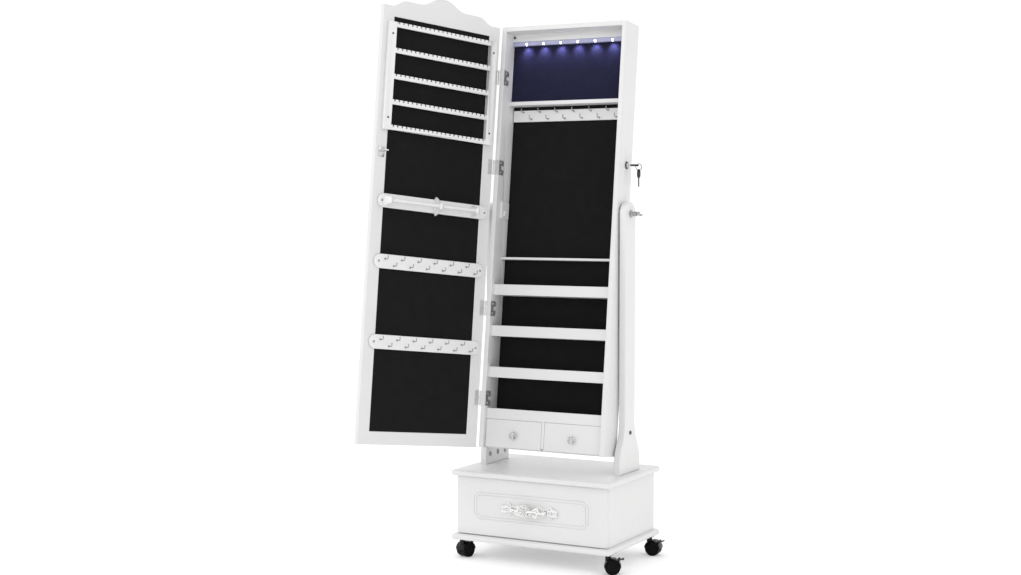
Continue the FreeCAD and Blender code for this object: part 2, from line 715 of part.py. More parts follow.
def spare_key():
    """The ring round the tip of the key's head, and the spare key that hangs from it."""
    blade_long = 21.5
    ring_z = LOCK_Z + RING_RISE - RING_R
    ring = Part.makeTorus(RING_R, RING_WIRE, Vector(RING_X, LOCK_Y, ring_z), Y_AXIS)
    hole_z = ring_z - RING_R + RING_WIRE + 0.3 - KEY_HOLE_R
    head = key_bow()
    head.rotate(ORIGIN, Y_AXIS, -90)
    head = moved(head, (RING_X, LOCK_Y, hole_z))
    blade_top = hole_z + KEY_TIP - KEY_LONG + 1
    blade = block(about(RING_X, BLADE_THICK / 2), about(LOCK_Y, 3.2), (blade_top - blade_long - 1, blade_top))
    return [ring, fused([head, blade])]


def hang(shape):
    """Places the hanging key: its ring is held by the leaning lock, but hangs upright."""
    copy = shape.copy()
    copy.rotate(Vector(0, LOCK_Y, LOCK_Z), X_AXIS, LEAN)
    return lean(copy)


# ---------------------------------------------------------------- hinges (cabinet's frame, door shut)
KNUCKLE_R = 2.4
PIN_R = 1.1
LEAF = 1.2
KNUCKLES = 5


def knuckle_spans(middle, indexes):
    """Z ranges of some of a hinge's five knuckles."""
    pitch = HINGE_LENGTH / KNUCKLES
    low = middle - HINGE_LENGTH / 2
    return [(low + i * pitch + 0.15, low + (i + 1) * pitch - 0.15) for i in indexes]


def hinge_leaf(middle, indexes, plates, tongue_y):
    """One leaf: its plates, and the tongues that curl round the pin as knuckles."""
    pieces = list(plates)
    for low, high in knuckle_spans(middle, indexes):
        pieces.append(rod((HINGE_X, HINGE_Y, low), Z_AXIS, high - low, KNUCKLE_R))
        pieces.append(block((HINGE_X, -CAB_HALF + 4), tongue_y, (low, high)))
    bore = rod((HINGE_X, HINGE_Y, middle - HINGE_LENGTH), Z_AXIS, 2 * HINGE_LENGTH, PIN_R + RUN_GAP)
    return fused(pieces).cut(bore)


def hinge_cabinet_leaves():
    """Leaves that wrap the left side's front edge onto its inner face, and the four pins."""
    solids = []
    for middle in HINGE_HEIGHTS:
        span = about(middle, HINGE_LENGTH / 2)
        edge_plate = block((-CAB_HALF + 1.5, -INNER + LEAF), (-LEAF, 0), span)
        wall_plate = block((-INNER, -INNER + LEAF), (-LEAF, 25), span)
        notch = block((-INNER - 1, -INNER + LEAF + 1), (12, 26), about(middle, 5))
        leaf = hinge_leaf(middle, (0, 2, 4), (edge_plate, wall_plate), (-LEAF, 0))
        solids.append(leaf.cut(notch))
        solids.append(rod((HINGE_X, HINGE_Y, middle - HINGE_LENGTH / 2 - 0.8), Z_AXIS,
                          HINGE_LENGTH + 1.6, PIN_R))
    return solids


def hinge_door_leaves():
    """Leaves on the margin of the door's inner face, clear of the earring rack."""
    solids = []
    for middle in HINGE_HEIGHTS:
        span = about(middle, HINGE_LENGTH / 2)
        face = (DOOR_INNER, DOOR_INNER + LEAF)
        plate = block((-CAB_HALF + 1.5, -FITTING_HALF - 0.5), face, span)
        solids.append(hinge_leaf(middle, (1, 3), (plate,), face))
    return solids


# ---------------------------------------------------------------- door (cabinet's frame, door shut)
DOOR_OUTER = DOOR_INNER - DOOR_THICK
VELVET = 3.5
RECESS = 0.5
MIRROR = 4.0


def door_frame():
    """A board with a shaped crest, cut out for the core, the mirror and the lining."""
    def at(point):
        return Vector(point[0], DOOR_OUTER, point[1])

    edges = []
    for side in (1, -1):
        corner = (side * CAB_HALF, DOOR_SHOULDER)
        shoulder = (side * (CAB_HALF - 23), DOOR_SHOULDER)
        shelf_out = (side * (CAB_HALF - 70), DOOR_SHELF)
        shelf_in = (side * (CAB_HALF - 105), DOOR_SHELF)
        edges.append(line_edge((side * CAB_HALF, DOOR_LOW), corner, at))
        edges.append(line_edge(corner, shoulder, at))
        edges += curve_edges(shoulder, shelf_out, 0, at)
        edges.append(line_edge(shelf_out, shelf_in, at))
        edges += curve_edges(shelf_in, (0, DOOR_PEAK), 0, at)
    edges.append(line_edge((-CAB_HALF, DOOR_LOW), (CAB_HALF, DOOR_LOW), at))
    board = Part.Face(Part.Wire(Part.__sortEdges__(edges))).extrude(Vector(0, DOOR_THICK, 0))
    return board.cut(block(about(0, PANEL_HALF), (DOOR_OUTER - 1, DOOR_INNER + 1), (PANEL_LOW, PANEL_HIGH)))


def door_sheet(front, thick):
    """A sheet that fills the door's opening."""
    return block(about(0, PANEL_HALF), (front, front + thick), (PANEL_LOW, PANEL_HIGH))


RACK_FACE = DOOR_INNER + 12.0
RACK_LOW = 171.0
RACK_HIGH = 442.0
STILE_HALF = 10.0
RAIL_TOPS = (442.0, 377.0, 311.5, 247.5, 183.5)
RAIL_HEIGHT = 12.5
TOOTH_PITCH = 13.0
TOOTH_COUNT = 22
TOOTH_GAP = 4.0
TOOTH_DEPTH = 5.0
SCREW_R = 2.5
SCREW_SINK = 1.2
PLATE_HALF = 18.0
PLATE_FACE = DOOR_INNER + 8.0
PLATE_HEIGHTS = (-157.0, -357.0)
DOOR_HOOK_PITCH = 48.6
BAR_Z = -6.0
BAR_HALF = 17.5
BAR_FACE = DOOR_INNER + 10.0
BRACKET_FACE = DOOR_INNER + 42.0
BRACKET_THICK = 14.0
BRACKET_ENDS = (330.0, 181.0, 70.0)
BRACELET_ROD_R = 5.0
BRACELET_ROD_Y = DOOR_INNER + 31.0
STILE_X = FITTING_HALF - STILE_HALF


def screw_places():
    """Middle of each fitting screw's head, on the face that it is sunk into."""
    places = [(side * STILE_X, RACK_FACE, z) for side in (-1, 1) for z in (412.0, 201.0)]
    places += [(side * (FITTING_HALF - 9), BAR_FACE, BAR_Z) for side in (-1, 1)]
    places += [(side * (FITTING_HALF - 11), PLATE_FACE, z) for side in (-1, 1) for z in PLATE_HEIGHTS]
    return places


def with_screw_sinks(shape):
    for x, y, z in screw_places():
        shape = shape.cut(rod((x, y - SCREW_SINK, z), Y_AXIS, SCREW_SINK + 1, SCREW_R + RUN_GAP))
    return shape


def fitting_screws():
    return [rod((x, y - SCREW_SINK, z), Y_AXIS, SCREW_SINK + 0.4, SCREW_R) for x, y, z in screw_places()]


def notched_rail(top):
    """One rail of the earring rack, with a comb of slots along its top edge."""
    rail = block(about(0, STILE_X - STILE_HALF), (RACK_FACE - 5, RACK_FACE), (top - RAIL_HEIGHT, top))
    slots = []
    for index in range(TOOTH_COUNT):
        x = (index - (TOOTH_COUNT - 1) / 2) * TOOTH_PITCH
        slots.append(block(about(x, TOOTH_GAP / 2), (RACK_FACE - 6, RACK_FACE + 1), (top - TOOTH_DEPTH, top + 1)))
    return rail.cut(Part.makeCompound(slots))


def earring_rack():
    """Two stiles and five notched rails between them."""
    stile = block(about(STILE_X, STILE_HALF), (DOOR_INNER, RACK_FACE), (RACK_LOW, RACK_HIGH))
    stile = with_screw_sinks(stile)
    return [stile, mirrored(stile)] + [notched_rail(top) for top in RAIL_TOPS]


def bracket(end):
    """A bracket that narrows from the backing to the rod. End is its far side, from the hinge edge."""
    base_half = 24.0 if end == BRACKET_ENDS[1] else 14.0
    tip_half = 11.0
    x = end - BRACKET_THICK - CAB_HALF
    outline = [(BAR_FACE, -base_half), (BAR_FACE + 5, -base_half), (BRACKET_FACE, -tip_half),
               (BRACKET_FACE, tip_half), (BAR_FACE + 5, base_half), (BAR_FACE, base_half)]
    return polygon_prism([(x, y, BAR_Z + z) for y, z in outline], Vector(BRACKET_THICK, 0, 0))


def bracelet_bar():
    """Backing, three brackets and the rod that they hold."""
    low = BRACKET_ENDS[2] - BRACKET_THICK - CAB_HALF
    high = BRACKET_ENDS[0] - CAB_HALF
    axis_start = (low + 3, BRACELET_ROD_Y, BAR_Z)
    length = high - low - 6
    backing = with_screw_sinks(stadium(FITTING_HALF, BAR_HALF, DOOR_INNER, BAR_FACE, BAR_Z))
    brackets = [bracket(end).cut(rod(axis_start, X_AXIS, length, BRACELET_ROD_R)) for end in BRACKET_ENDS]
    return [backing, rod(axis_start, X_AXIS, length, BRACELET_ROD_R)] + brackets


def hook_plates():
    plates = [stadium(FITTING_HALF, PLATE_HALF, DOOR_INNER, PLATE_FACE, z) for z in PLATE_HEIGHTS]
    return [with_screw_sinks(plate) for plate in plates]


def door_hooks():
    """Two staggered rows of hooks on each plate, pointing into the cabinet."""
    row_offset = 13.0
    row_rise = 8.0
    hooks = []
    for middle in PLATE_HEIGHTS:
        for side in (-1, 1):
            for index in range(HOOKS_IN_ROW):
                x = side * row_offset + (index - (HOOKS_IN_ROW - 1) / 2) * DOOR_HOOK_PITCH
                hooks.append(peg_hook(x, PLATE_FACE, middle + side * row_rise - 2))
    return hooks


def lock_strike():
    """The plate on the door's free margin and the staple that the lock's cam catches."""
    face = (DOOR_INNER, DOOR_INNER + 1.5)
    staple_y = 21.0
    staple_z = (LOCK_Z - 9, LOCK_Z - 5)
    plate = block((152, 168), face, (LOCK_Z - 22, LOCK_Z + 3))
    legs = [block((x, x + 2), (DOOR_INNER, staple_y), staple_z) for x in (154, 162.2)]
    bar = block((154, 164.2), (staple_y - 3.5, staple_y), staple_z)
    return fused([plate, bar] + legs)


# ---------------------------------------------------------------- write the nodes
def write_base():
    save("base_top_board", base_board(BOX_HIGH))
    save("base_bottom_board", base_bottom_board())
    save("base_walls", base_walls())
    save("drawer_runners", drawer_runners())
    save("caster_sockets", [caster_socket(sx, sy) for sx, sy, _ in CASTERS.values()])
    save("upright_right", upright())
    save("upright_left", mirrored(upright()))
    save("upright_fasteners", upright_fasteners())
    save("base_drawer_front", base_drawer_front())
    save("base_drawer_box", base_drawer_box())
    save("base_drawer_pull", base_drawer_pull())


def write_casters():
    for corner, (sx, sy, heading) in CASTERS.items():
        place = at_corner(sx, sy, heading)
        save("caster_" + corner + "_hood", caster_hood(), place)
        save("caster_" + corner + "_wheels", caster_wheels(), place)
        save("caster_" + corner + "_brake", caster_brake(), place)


def write_cabinet():
    save("cabinet_side_left", mirrored(cabinet_side()), lean)
    save("cabinet_side_right", cabinet_side().cut(lock_hole()), lean)
    save("cabinet_top", cabinet_plate(0, CAB_DEPTH, CASE_TOP, CAB_HIGH), lean)
    save("cabinet_floor", cabinet_plate(SMALL_FRONT_Y + SMALL_FRONT_THICK + 0.5, CAB_DEPTH, CAB_LOW, CASE_FLOOR), lean)
    save("cabinet_back", cabinet_plate(BACK_FACE, CAB_DEPTH, CASE_FLOOR, CASE_TOP), lean)
    save("velvet_lining", velvet_lining(), lean)
    save("light_cornice", light_cornice(), lean)
    save("light_strip", light_strip(), lean)
    save("light_sensor", rod((SENSOR_X, CORNICE_Y - 0.6, SENSOR_Z), Y_AXIS, 8, SENSOR_R), lean)
    save("battery_box", battery_box(), lean)
    upper = cabinet_plate(RAIL_Y, BACK_FACE, RAIL_Z, RAIL_Z + RAIL_THICK)
    thin = cabinet_plate(THIN_SHELF_Y, BACK_FACE, THIN_SHELF_Z, THIN_SHELF_Z + SHELF_THICK)
    save("cabinet_rails", [upper, thin], lean)
    strip = block(about(0, INNER - 2), (HOOK_STRIP_Y, HOOK_WALL_Y), (HOOK_STRIP_LOW, HOOK_STRIP_HIGH))
    save("hook_strip", strip, lean)
    save("cabinet_hooks", cabinet_hooks(), lean)
    save("lipped_shelves", lipped_shelves(), lean)
    save("drawer_divider", drawer_divider(), lean)
    save("pivot_fittings", pivot_fittings(), lean)
    save("lock_housing", lock_housing(), lean)
    save("lock_key", lock_key(), lean)
    save("spare_key", spare_key(), hang)
    save("hinge_cabinet_leaves", hinge_cabinet_leaves(), lean)
    for side, turn in (("right", stay), ("left", mirrored)):
        save("small_drawer_" + side, [turn(piece) for piece in small_drawer()], lean)
        save("small_knob_" + side, turn(small_knob()), lean)
        save("tilt_knob_" + side, turn(tilt_knob()), lean)


def write_door():
    save("door_frame", door_frame(), swing)
    save("door_mirror", door_sheet(DOOR_OUTER + RECESS, MIRROR), swing)
    core_front = DOOR_OUTER + RECESS + MIRROR
    velvet_front = DOOR_INNER - RECESS - VELVET
    save("door_core", door_sheet(core_front, velvet_front - core_front), swing)
    save("door_velvet", door_sheet(velvet_front, VELVET), swing)
    save("earring_rack", earring_rack(), swing)
    save("bracelet_bar", bracelet_bar(), swing)
    save("hook_plates", hook_plates(), swing)
    save("door_hooks", door_hooks(), swing)
    save("fitting_screws", fitting_screws(), swing)
    save("lock_strike", lock_strike(), swing)
    save("hinge_door_leaves", hinge_door_leaves(), swing)


os.makedirs("parts", exist_ok=True)
write_base()
write_casters()
write_cabinet()
write_door()
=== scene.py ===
import json
import math

import bmesh
import bpy
import numpy as np
from mathutils import Matrix, Vector


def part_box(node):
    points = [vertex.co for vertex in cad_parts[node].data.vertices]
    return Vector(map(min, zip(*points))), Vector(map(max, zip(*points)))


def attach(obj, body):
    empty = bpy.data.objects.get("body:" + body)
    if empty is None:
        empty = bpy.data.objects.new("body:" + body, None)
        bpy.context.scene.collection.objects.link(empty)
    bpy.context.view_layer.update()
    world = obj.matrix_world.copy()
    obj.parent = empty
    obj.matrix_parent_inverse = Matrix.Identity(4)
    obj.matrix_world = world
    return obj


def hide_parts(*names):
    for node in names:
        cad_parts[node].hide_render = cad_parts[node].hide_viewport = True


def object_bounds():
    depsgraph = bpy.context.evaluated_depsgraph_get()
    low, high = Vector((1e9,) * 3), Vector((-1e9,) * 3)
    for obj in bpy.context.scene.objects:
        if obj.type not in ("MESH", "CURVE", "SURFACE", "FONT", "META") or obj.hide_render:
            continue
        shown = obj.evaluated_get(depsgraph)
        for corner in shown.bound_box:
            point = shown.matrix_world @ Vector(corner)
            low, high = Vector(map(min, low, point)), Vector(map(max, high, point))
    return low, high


# Jewelry armoire. Every shape is drawn in millimetres in the local frame of the group that holds it,
# and a placing matrix takes it to the world, in metres: +X right, +Y back, +Z up.
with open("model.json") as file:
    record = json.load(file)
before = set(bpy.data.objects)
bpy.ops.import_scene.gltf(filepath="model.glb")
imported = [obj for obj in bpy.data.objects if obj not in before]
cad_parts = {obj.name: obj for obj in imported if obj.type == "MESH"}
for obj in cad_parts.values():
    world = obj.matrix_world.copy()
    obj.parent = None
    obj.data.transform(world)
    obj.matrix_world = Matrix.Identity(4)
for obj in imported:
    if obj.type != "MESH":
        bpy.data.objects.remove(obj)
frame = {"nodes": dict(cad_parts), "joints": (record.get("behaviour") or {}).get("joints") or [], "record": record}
cad_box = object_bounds()

# ---------------------------------------------------------------- frames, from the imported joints
MM = 0.001
JOINTS = {joint["name"]: joint for joint in frame["joints"]}
BODY_OF = {
    node: body
    for body, nodes in frame["record"]["behaviour"]["bodies"].items()
    for node in nodes
}
LEAN = math.atan2(-JOINTS["door_hinge"]["axis"][1], -JOINTS["door_hinge"]["axis"][2])
OPEN = math.radians(-JOINTS["door_hinge"]["range_deg"][0])
PIVOT_DEPTH = 38.0             # the tilt pivot, behind the cabinet's front plane
CASTERS = ("front_right", "back_right", "front_left", "back_left")


def joint_place(name):
    return Vector(JOINTS[name]["pos_m"])


FLOOR = Matrix.Scale(MM, 4)
# The cabinet's frame: Y is 0 at its front plane, and Z is 0 at the tilt pivot.
CABINET = (
    Matrix.Translation(joint_place("cabinet_tilt"))
    @ Matrix.Rotation(-LEAN, 4, "X")
    @ Matrix.Scale(MM, 4)
    @ Matrix.Translation((0, -PIVOT_DEPTH, 0))
)
HINGE = CABINET.inverted() @ joint_place("door_hinge")
# The door's frame is the cabinet's frame with the door shut, swung open about the hinge.
DOOR = (
    CABINET
    @ Matrix.Translation(HINGE)
    @ Matrix.Rotation(-OPEN, 4, "Z")
    @ Matrix.Translation(-HINGE)
)
MIRROR_X = Matrix.Diagonal((-1, 1, 1, 1))
TURN_Y = Matrix.Diagonal((1, -1, 1, 1))
IDENTITY = Matrix.Identity(4)


def caster_frame(corner):
    """Origin on the floor under the stem, with the wheels trailing along +X."""
    stem = joint_place("swivel_" + corner)
    axle = joint_place("roll_" + corner)
    heading = math.atan2(axle.y - stem.y, axle.x - stem.x)
    return Matrix.Translation((stem.x, stem.y, 0)) @ Matrix.Rotation(heading, 4, "Z") @ FLOOR


def shift(x=0.0, y=0.0, z=0.0):
    return Matrix.Translation((x, y, z))


def axis_frame(origin, direction):
    """A frame at origin whose Z axis points in a direction."""
    return Matrix.Translation(origin) @ Vector(direction).to_track_quat("Z", "Y").to_matrix().to_4x4()


def plane_xz(y=0.0):
    """Draws an outline in X and Z, and raises it along +Y."""
    return Matrix(((1, 0, 0, 0), (0, 0, 1, y), (0, 1, 0, 0), (0, 0, 0, 1)))


def plane_yz(x=0.0):
    """Draws an outline in Y and Z, and raises it along +X."""
    return Matrix(((0, 0, 1, x), (1, 0, 0, 0), (0, 1, 0, 0), (0, 0, 0, 1)))


# ---------------------------------------------------------------- what the CAD nodes measure
WELD = 3e-6                    # vertices of one solid that are this near are one, in metres


def local_box(node, place):
    """Lowest and highest corner of a CAD node in a local frame, in millimetres."""
    back = place.inverted()
    points = np.array([back @ v.co for v in frame["nodes"][node].data.vertices])
    return Vector(points.min(0)), Vector(points.max(0))


def solids(node, place):
    """Low and high corner of each solid in a CAD node. Solids that only touch stay apart."""
    bm = bmesh.new()
    bm.from_mesh(frame["nodes"][node].data)
    bmesh.ops.remove_doubles(bm, verts=bm.verts, dist=WELD)
    back = place.inverted()
    boxes = []
    left = set(bm.faces)
    while left:
        queue = [left.pop()]
        corners = []
        while queue:
            face = queue.pop()
            corners.extend(back @ vert.co for vert in face.verts)
            for edge in face.edges:
                if len(edge.link_faces) == 2:
                    joined = left.intersection(edge.link_faces)
                    left -= joined
                    queue.extend(joined)
        points = np.array(corners)
        boxes.append((Vector(points.min(0)), Vector(points.max(0))))
    bm.free()
    return sorted(boxes, key=lambda pair: (round(pair[0].z), round(pair[0].x), round(pair[0].y)))


# ---------------------------------------------------------------- outlines
def arc(centre, radius, start, end, steps):
    """Points of an arc, between two angles in degrees."""
    turns = [math.radians(start + (end - start) * i / steps) for i in range(steps + 1)]
    return [Vector((centre[0] + radius * math.cos(a), centre[1] + radius * math.sin(a))) for a in turns]


def circle(radius, centre=(0, 0), count=32):
    return arc(centre, radius, 0, 360, count)[:-1]


def stadium(half_length, half_height, centre=(0, 0), steps=12):
    reach = half_length - half_height
    right = arc((centre[0] + reach, centre[1]), half_height, -90, 90, steps)
    left = arc((centre[0] - reach, centre[1]), half_height, 90, 270, steps)
    return right + left


def rounded_rectangle(half_x, half_y, radius, steps=4):
    x = half_x - radius
    y = half_y - radius
    corners = ((x, y, 0), (-x, y, 90), (-x, -y, 180), (x, -y, 270))
    return [p for cx, cy, start in corners for p in arc((cx, cy), radius, start, start + 90, steps)]


def s_curve(start, end, tangent, steps=14):
    """Two equal arcs from start to end, both ends in line with the tangent axis, without the ends."""
    other = 1 - tangent
    run = end[tangent] - start[tangent]
    step = end[other] - start[other]
    turn = 2 * math.atan(abs(step / run))
    radius = abs(run) / (2 * math.sin(turn))
    points = []
    for index in range(1, 2 * steps):
        share = index / steps
        angle = turn * min(share, 2 - share)
        along = radius * math.sin(angle)
        across = radius * (1 - math.cos(angle))
        if share > 1:
            along = abs(run) - along
            across = abs(step) - across
        point = [0.0, 0.0]
        point[tangent] = start[tangent] + math.copysign(along, run)
        point[other] = start[other] + math.copysign(across, step)
        points.append(Vector(point))
    return points


def both_sides(right, crown=()):
    """An outline that is symmetrical about the vertical, from its right half read upwards and its crown."""
    left = [Vector((-p[0], p[1])) for p in reversed(right)]
    return [Vector(p) for p in (*right, *crown)] + left


def inset(outline, distance):
    """A closed outline moved inward, with mitred corners."""
    if distance == 0:
        return outline
    area = sum(a.cross(b) for a, b in zip(outline, outline[1:] + outline[:1]))
    inward = math.copysign(distance, area)
    moved = []
    for index, point in enumerate(outline):
        before = (point - outline[index - 1]).normalized()
        after = (outline[(index + 1) % len(outline)] - point).normalized()
        normal = Vector((-before.y - after.y, before.x + after.x))
        moved.append(point + normal * inward / (1 + before.dot(after)))
    return moved


def quarter(radius, steps=3):
    """A quarter round as (inset, height) points, from the flat face to the upright side."""
    turns = [math.pi / 2 * i / steps for i in range(steps + 1)]
    return [(radius * (1 - math.sin(a)), radius * (1 - math.cos(a))) for a in turns]


# ---------------------------------------------------------------- mesh forms
class Form:
    """A mesh being built in a local frame. New faces take the finish whose number is current."""

    def __init__(self):
        self.bm = bmesh.new()
        self.finish = 0

    def face(self, verts):
        self.bm.faces.new(verts).material_index = self.finish

    def skin(self, rings, closed=False):
        """Covers a row of rings with equal numbers of points. An open row gets end caps."""
        rows = [[self.bm.verts.new(p) for p in ring] for ring in rings]
        pairs = list(zip(rows, rows[1:]))
        if closed:
            pairs.append((rows[-1], rows[0]))
        else:
            self.face(rows[0])
            self.face(rows[-1])
        for one, two in pairs:
            for i in range(len(one)):
                self.face((one[i - 1], one[i], two[i], two[i - 1]))

    def box(self, low, high):
        plan = ((low[0], low[1]), (high[0], low[1]), (high[0], high[1]), (low[0], high[1]))
        self.skin([[(x, y, z) for x, y in plan] for z in (low[2], high[2])])

    def prism(self, outline, depth, at=IDENTITY, rounding=0.0, steps=3):
        """Raises an outline along the frame's Z axis, with both rims rounded."""
        sections = quarter(rounding, steps) if rounding else [(0.0, 0.0)]
        sections = sections + [(i, depth - h) for i, h in reversed(sections)]
        self.skin([[at @ Vector((p.x, p.y, height)) for p in inset(outline, distance)]
                   for distance, height in sections])

    def lathe(self, profile, at=IDENTITY, segments=32):
        """Turns a profile of (radius, height) points round the frame's Z axis."""
        self.skin([[at @ Vector((p.x, p.y, height)) for p in circle(radius, count=segments)]
                   for radius, height in profile])

    def ball(self, centre, radii, turn=IDENTITY, segments=14):
        """An ellipsoid with three radii, turned about its centre."""
        at = Matrix.Translation(centre) @ turn @ Matrix.Diagonal((*radii, 1))
        angles = [math.pi * (i + 0.3) / (segments - 0.4) for i in range(segments)]
        self.lathe([(math.sin(a), -math.cos(a)) for a in angles], at, segments)

    def tube(self, path, radius, segments=12):
        """A round bar along a path. Radius is a number, or one number for each point."""
        points = [Vector(p) for p in path]
        radii = radius if isinstance(radius, (list, tuple)) else [radius] * len(points)
        rings = []
        side = None
        for i, point in enumerate(points):
            ahead = (points[min(i + 1, len(points) - 1)] - points[max(i - 1, 0)]).normalized()
            if side is None:
                side = ahead.orthogonal().normalized()
            side = (side - ahead * side.dot(ahead)).normalized()
            up = ahead.cross(side)
            rings.append([point + side * p.x + up * p.y for p in circle(radii[i], count=segments)])
        self.skin(rings)

    def ring(self, radius, wire, at=IDENTITY, segments=40):
        """A closed ring of round wire about the frame's Z axis."""
        rows = []
        section = circle(wire, count=10)
        for p in circle(1.0, count=segments):
            rows.append([at @ Vector((p.x * (radius + q.x), p.y * (radius + q.x), q.y)) for q in section])
        self.skin(rows, closed=True)

    def screw(self, at, radius):
        """A countersunk head with a crossed recess. Its face is at the frame's Z = 0."""
        sink = radius * 0.28
        rim = radius * 0.96
        self.lathe([(radius * 0.5, -radius * 0.9), (rim, -sink * 1.5), (rim, -sink)], at, 20)
        gap = radius * 0.13
        start = math.degrees(math.asin(gap / radius))
        for quadrant in range(4):
            turn = at @ shift(z=-sink) @ Matrix.Rotation(quadrant * math.pi / 2, 4, "Z")
            sector = [Vector((gap, gap))] + arc((0, 0), radius * 0.95, start, 90 - start, 6)
            self.prism(sector, sink, turn, radius * 0.06, 1)

    def hook(self, at):
        """A bent wire hook with a round flange and a ball tip. It leaves along +Y and turns up."""
        reach = 14.0
        bend = 3.0
        rise = 7.0
        wire = 1.1
        bow = arc((reach - bend, bend), bend, -90, 0, 6)
        path = [Vector((0, -0.5, 0))] + [Vector((0, p.x, p.y)) for p in bow] + [Vector((0, reach, rise))]
        self.tube([at @ p for p in path], wire, 10)
        self.ball(at @ Vector((0, reach, rise)), (1.6, 1.6, 1.6), segments=10)
        face = at @ axis_frame((0, 0, 0), (0, 1, 0))
        self.lathe([(2.7, -0.2), (2.7, 0.5), (2.2, 1.0), (1.3, 1.2)], face, 16)


def from_node(node):
    """A form with a CAD node's own surfaces, welded, and with its flat faces whole again."""
    form = Form()
    form.bm.from_mesh(frame["nodes"][node].data)
    for face in form.bm.faces:
        face.material_index = 0
    bmesh.ops.remove_doubles(form.bm, verts=form.bm.verts, dist=WELD)
    bmesh.ops.dissolve_limit(
        form.bm, angle_limit=math.radians(0.5), verts=form.bm.verts, edges=form.bm.edges
    )
    return form


def mesh_object(name, form, place):
    form.bm.transform(place)
    bmesh.ops.recalc_face_normals(form.bm, faces=form.bm.faces)
    mesh = bpy.data.meshes.new(name)
    form.bm.to_mesh(mesh)
    form.bm.free()
    made = bpy.data.objects.new(name, mesh)
    bpy.context.scene.collection.objects.link(made)
    return made


def settle(made):
    """Replaces an object's mesh by what its modifiers make of it."""
    evaluated = made.evaluated_get(bpy.context.evaluated_depsgraph_get())
    settled = bpy.data.meshes.new_from_object(evaluated)
    made.modifiers.clear()
    made.data = settled


def carve(made, form, place):
    """Cuts a form out of an object."""
    cutter = mesh_object("cutter", form, place)
    cut = made.modifiers.new("Cut", "BOOLEAN")
    cut.object = cutter
    cut.operation = "DIFFERENCE"
    cut.solver = "EXACT"
    settle(made)
    bpy.data.objects.remove(cutter)


def dress(made, place, node, finishes, edge=0.0, steps=2, crease=40.0):
    """Gives a piece its finishes, rounded edges, smooth shading, local coordinates and body."""
    mesh = made.data
    mesh.materials.clear()
    for finish in finishes:
        mesh.materials.append(finish)
    back = place.inverted()
    local = mesh.attributes.new("local", "FLOAT_VECTOR", "POINT")
    for vert, value in zip(mesh.vertices, local.data):
        value.vector = back @ vert.co
    mesh.shade_smooth()
    if edge:
        rounding = made.modifiers.new("Edges", "BEVEL")
        rounding.width = edge * MM
        rounding.segments = steps
        rounding.limit_method = "ANGLE"
        rounding.angle_limit = math.radians(crease)
        rounding.harden_normals = True
    else:
        mesh.set_sharp_from_angle(angle=math.radians(crease))
        shading = made.modifiers.new("Shading", "WEIGHTED_NORMAL")
        shading.keep_sharp = True
    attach(made, BODY_OF[node])
    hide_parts(node)


def piece(name, form, place, node, finishes, holes=None, **looks):
    """One visible piece. Holes is a form to cut out of it, in the same local frame."""
    made = mesh_object(name, form, place)
    if holes is not None:
        carve(made, holes, place)
    dress(made, place, node, finishes, **looks)


def boards(node, place, finish, edge):
    """A node whose solids are plain boards, with softened edges."""
    form = Form()
    for low, high in solids(node, place):
        form.box(low, high)
    piece(node + "_boards", form, place, node, [finish], edge=edge)


def shaped(node, place, finish, edge):
    """A node whose own outline is right, with softened edges."""
    made = mesh_object(node + "_shaped", from_node(node), IDENTITY)
    dress(made, place, node, [finish], edge=edge)


# ---------------------------------------------------------------- materials
WAVE_RATE = 0.314              # the wave texture's scale that gives one rib a unit


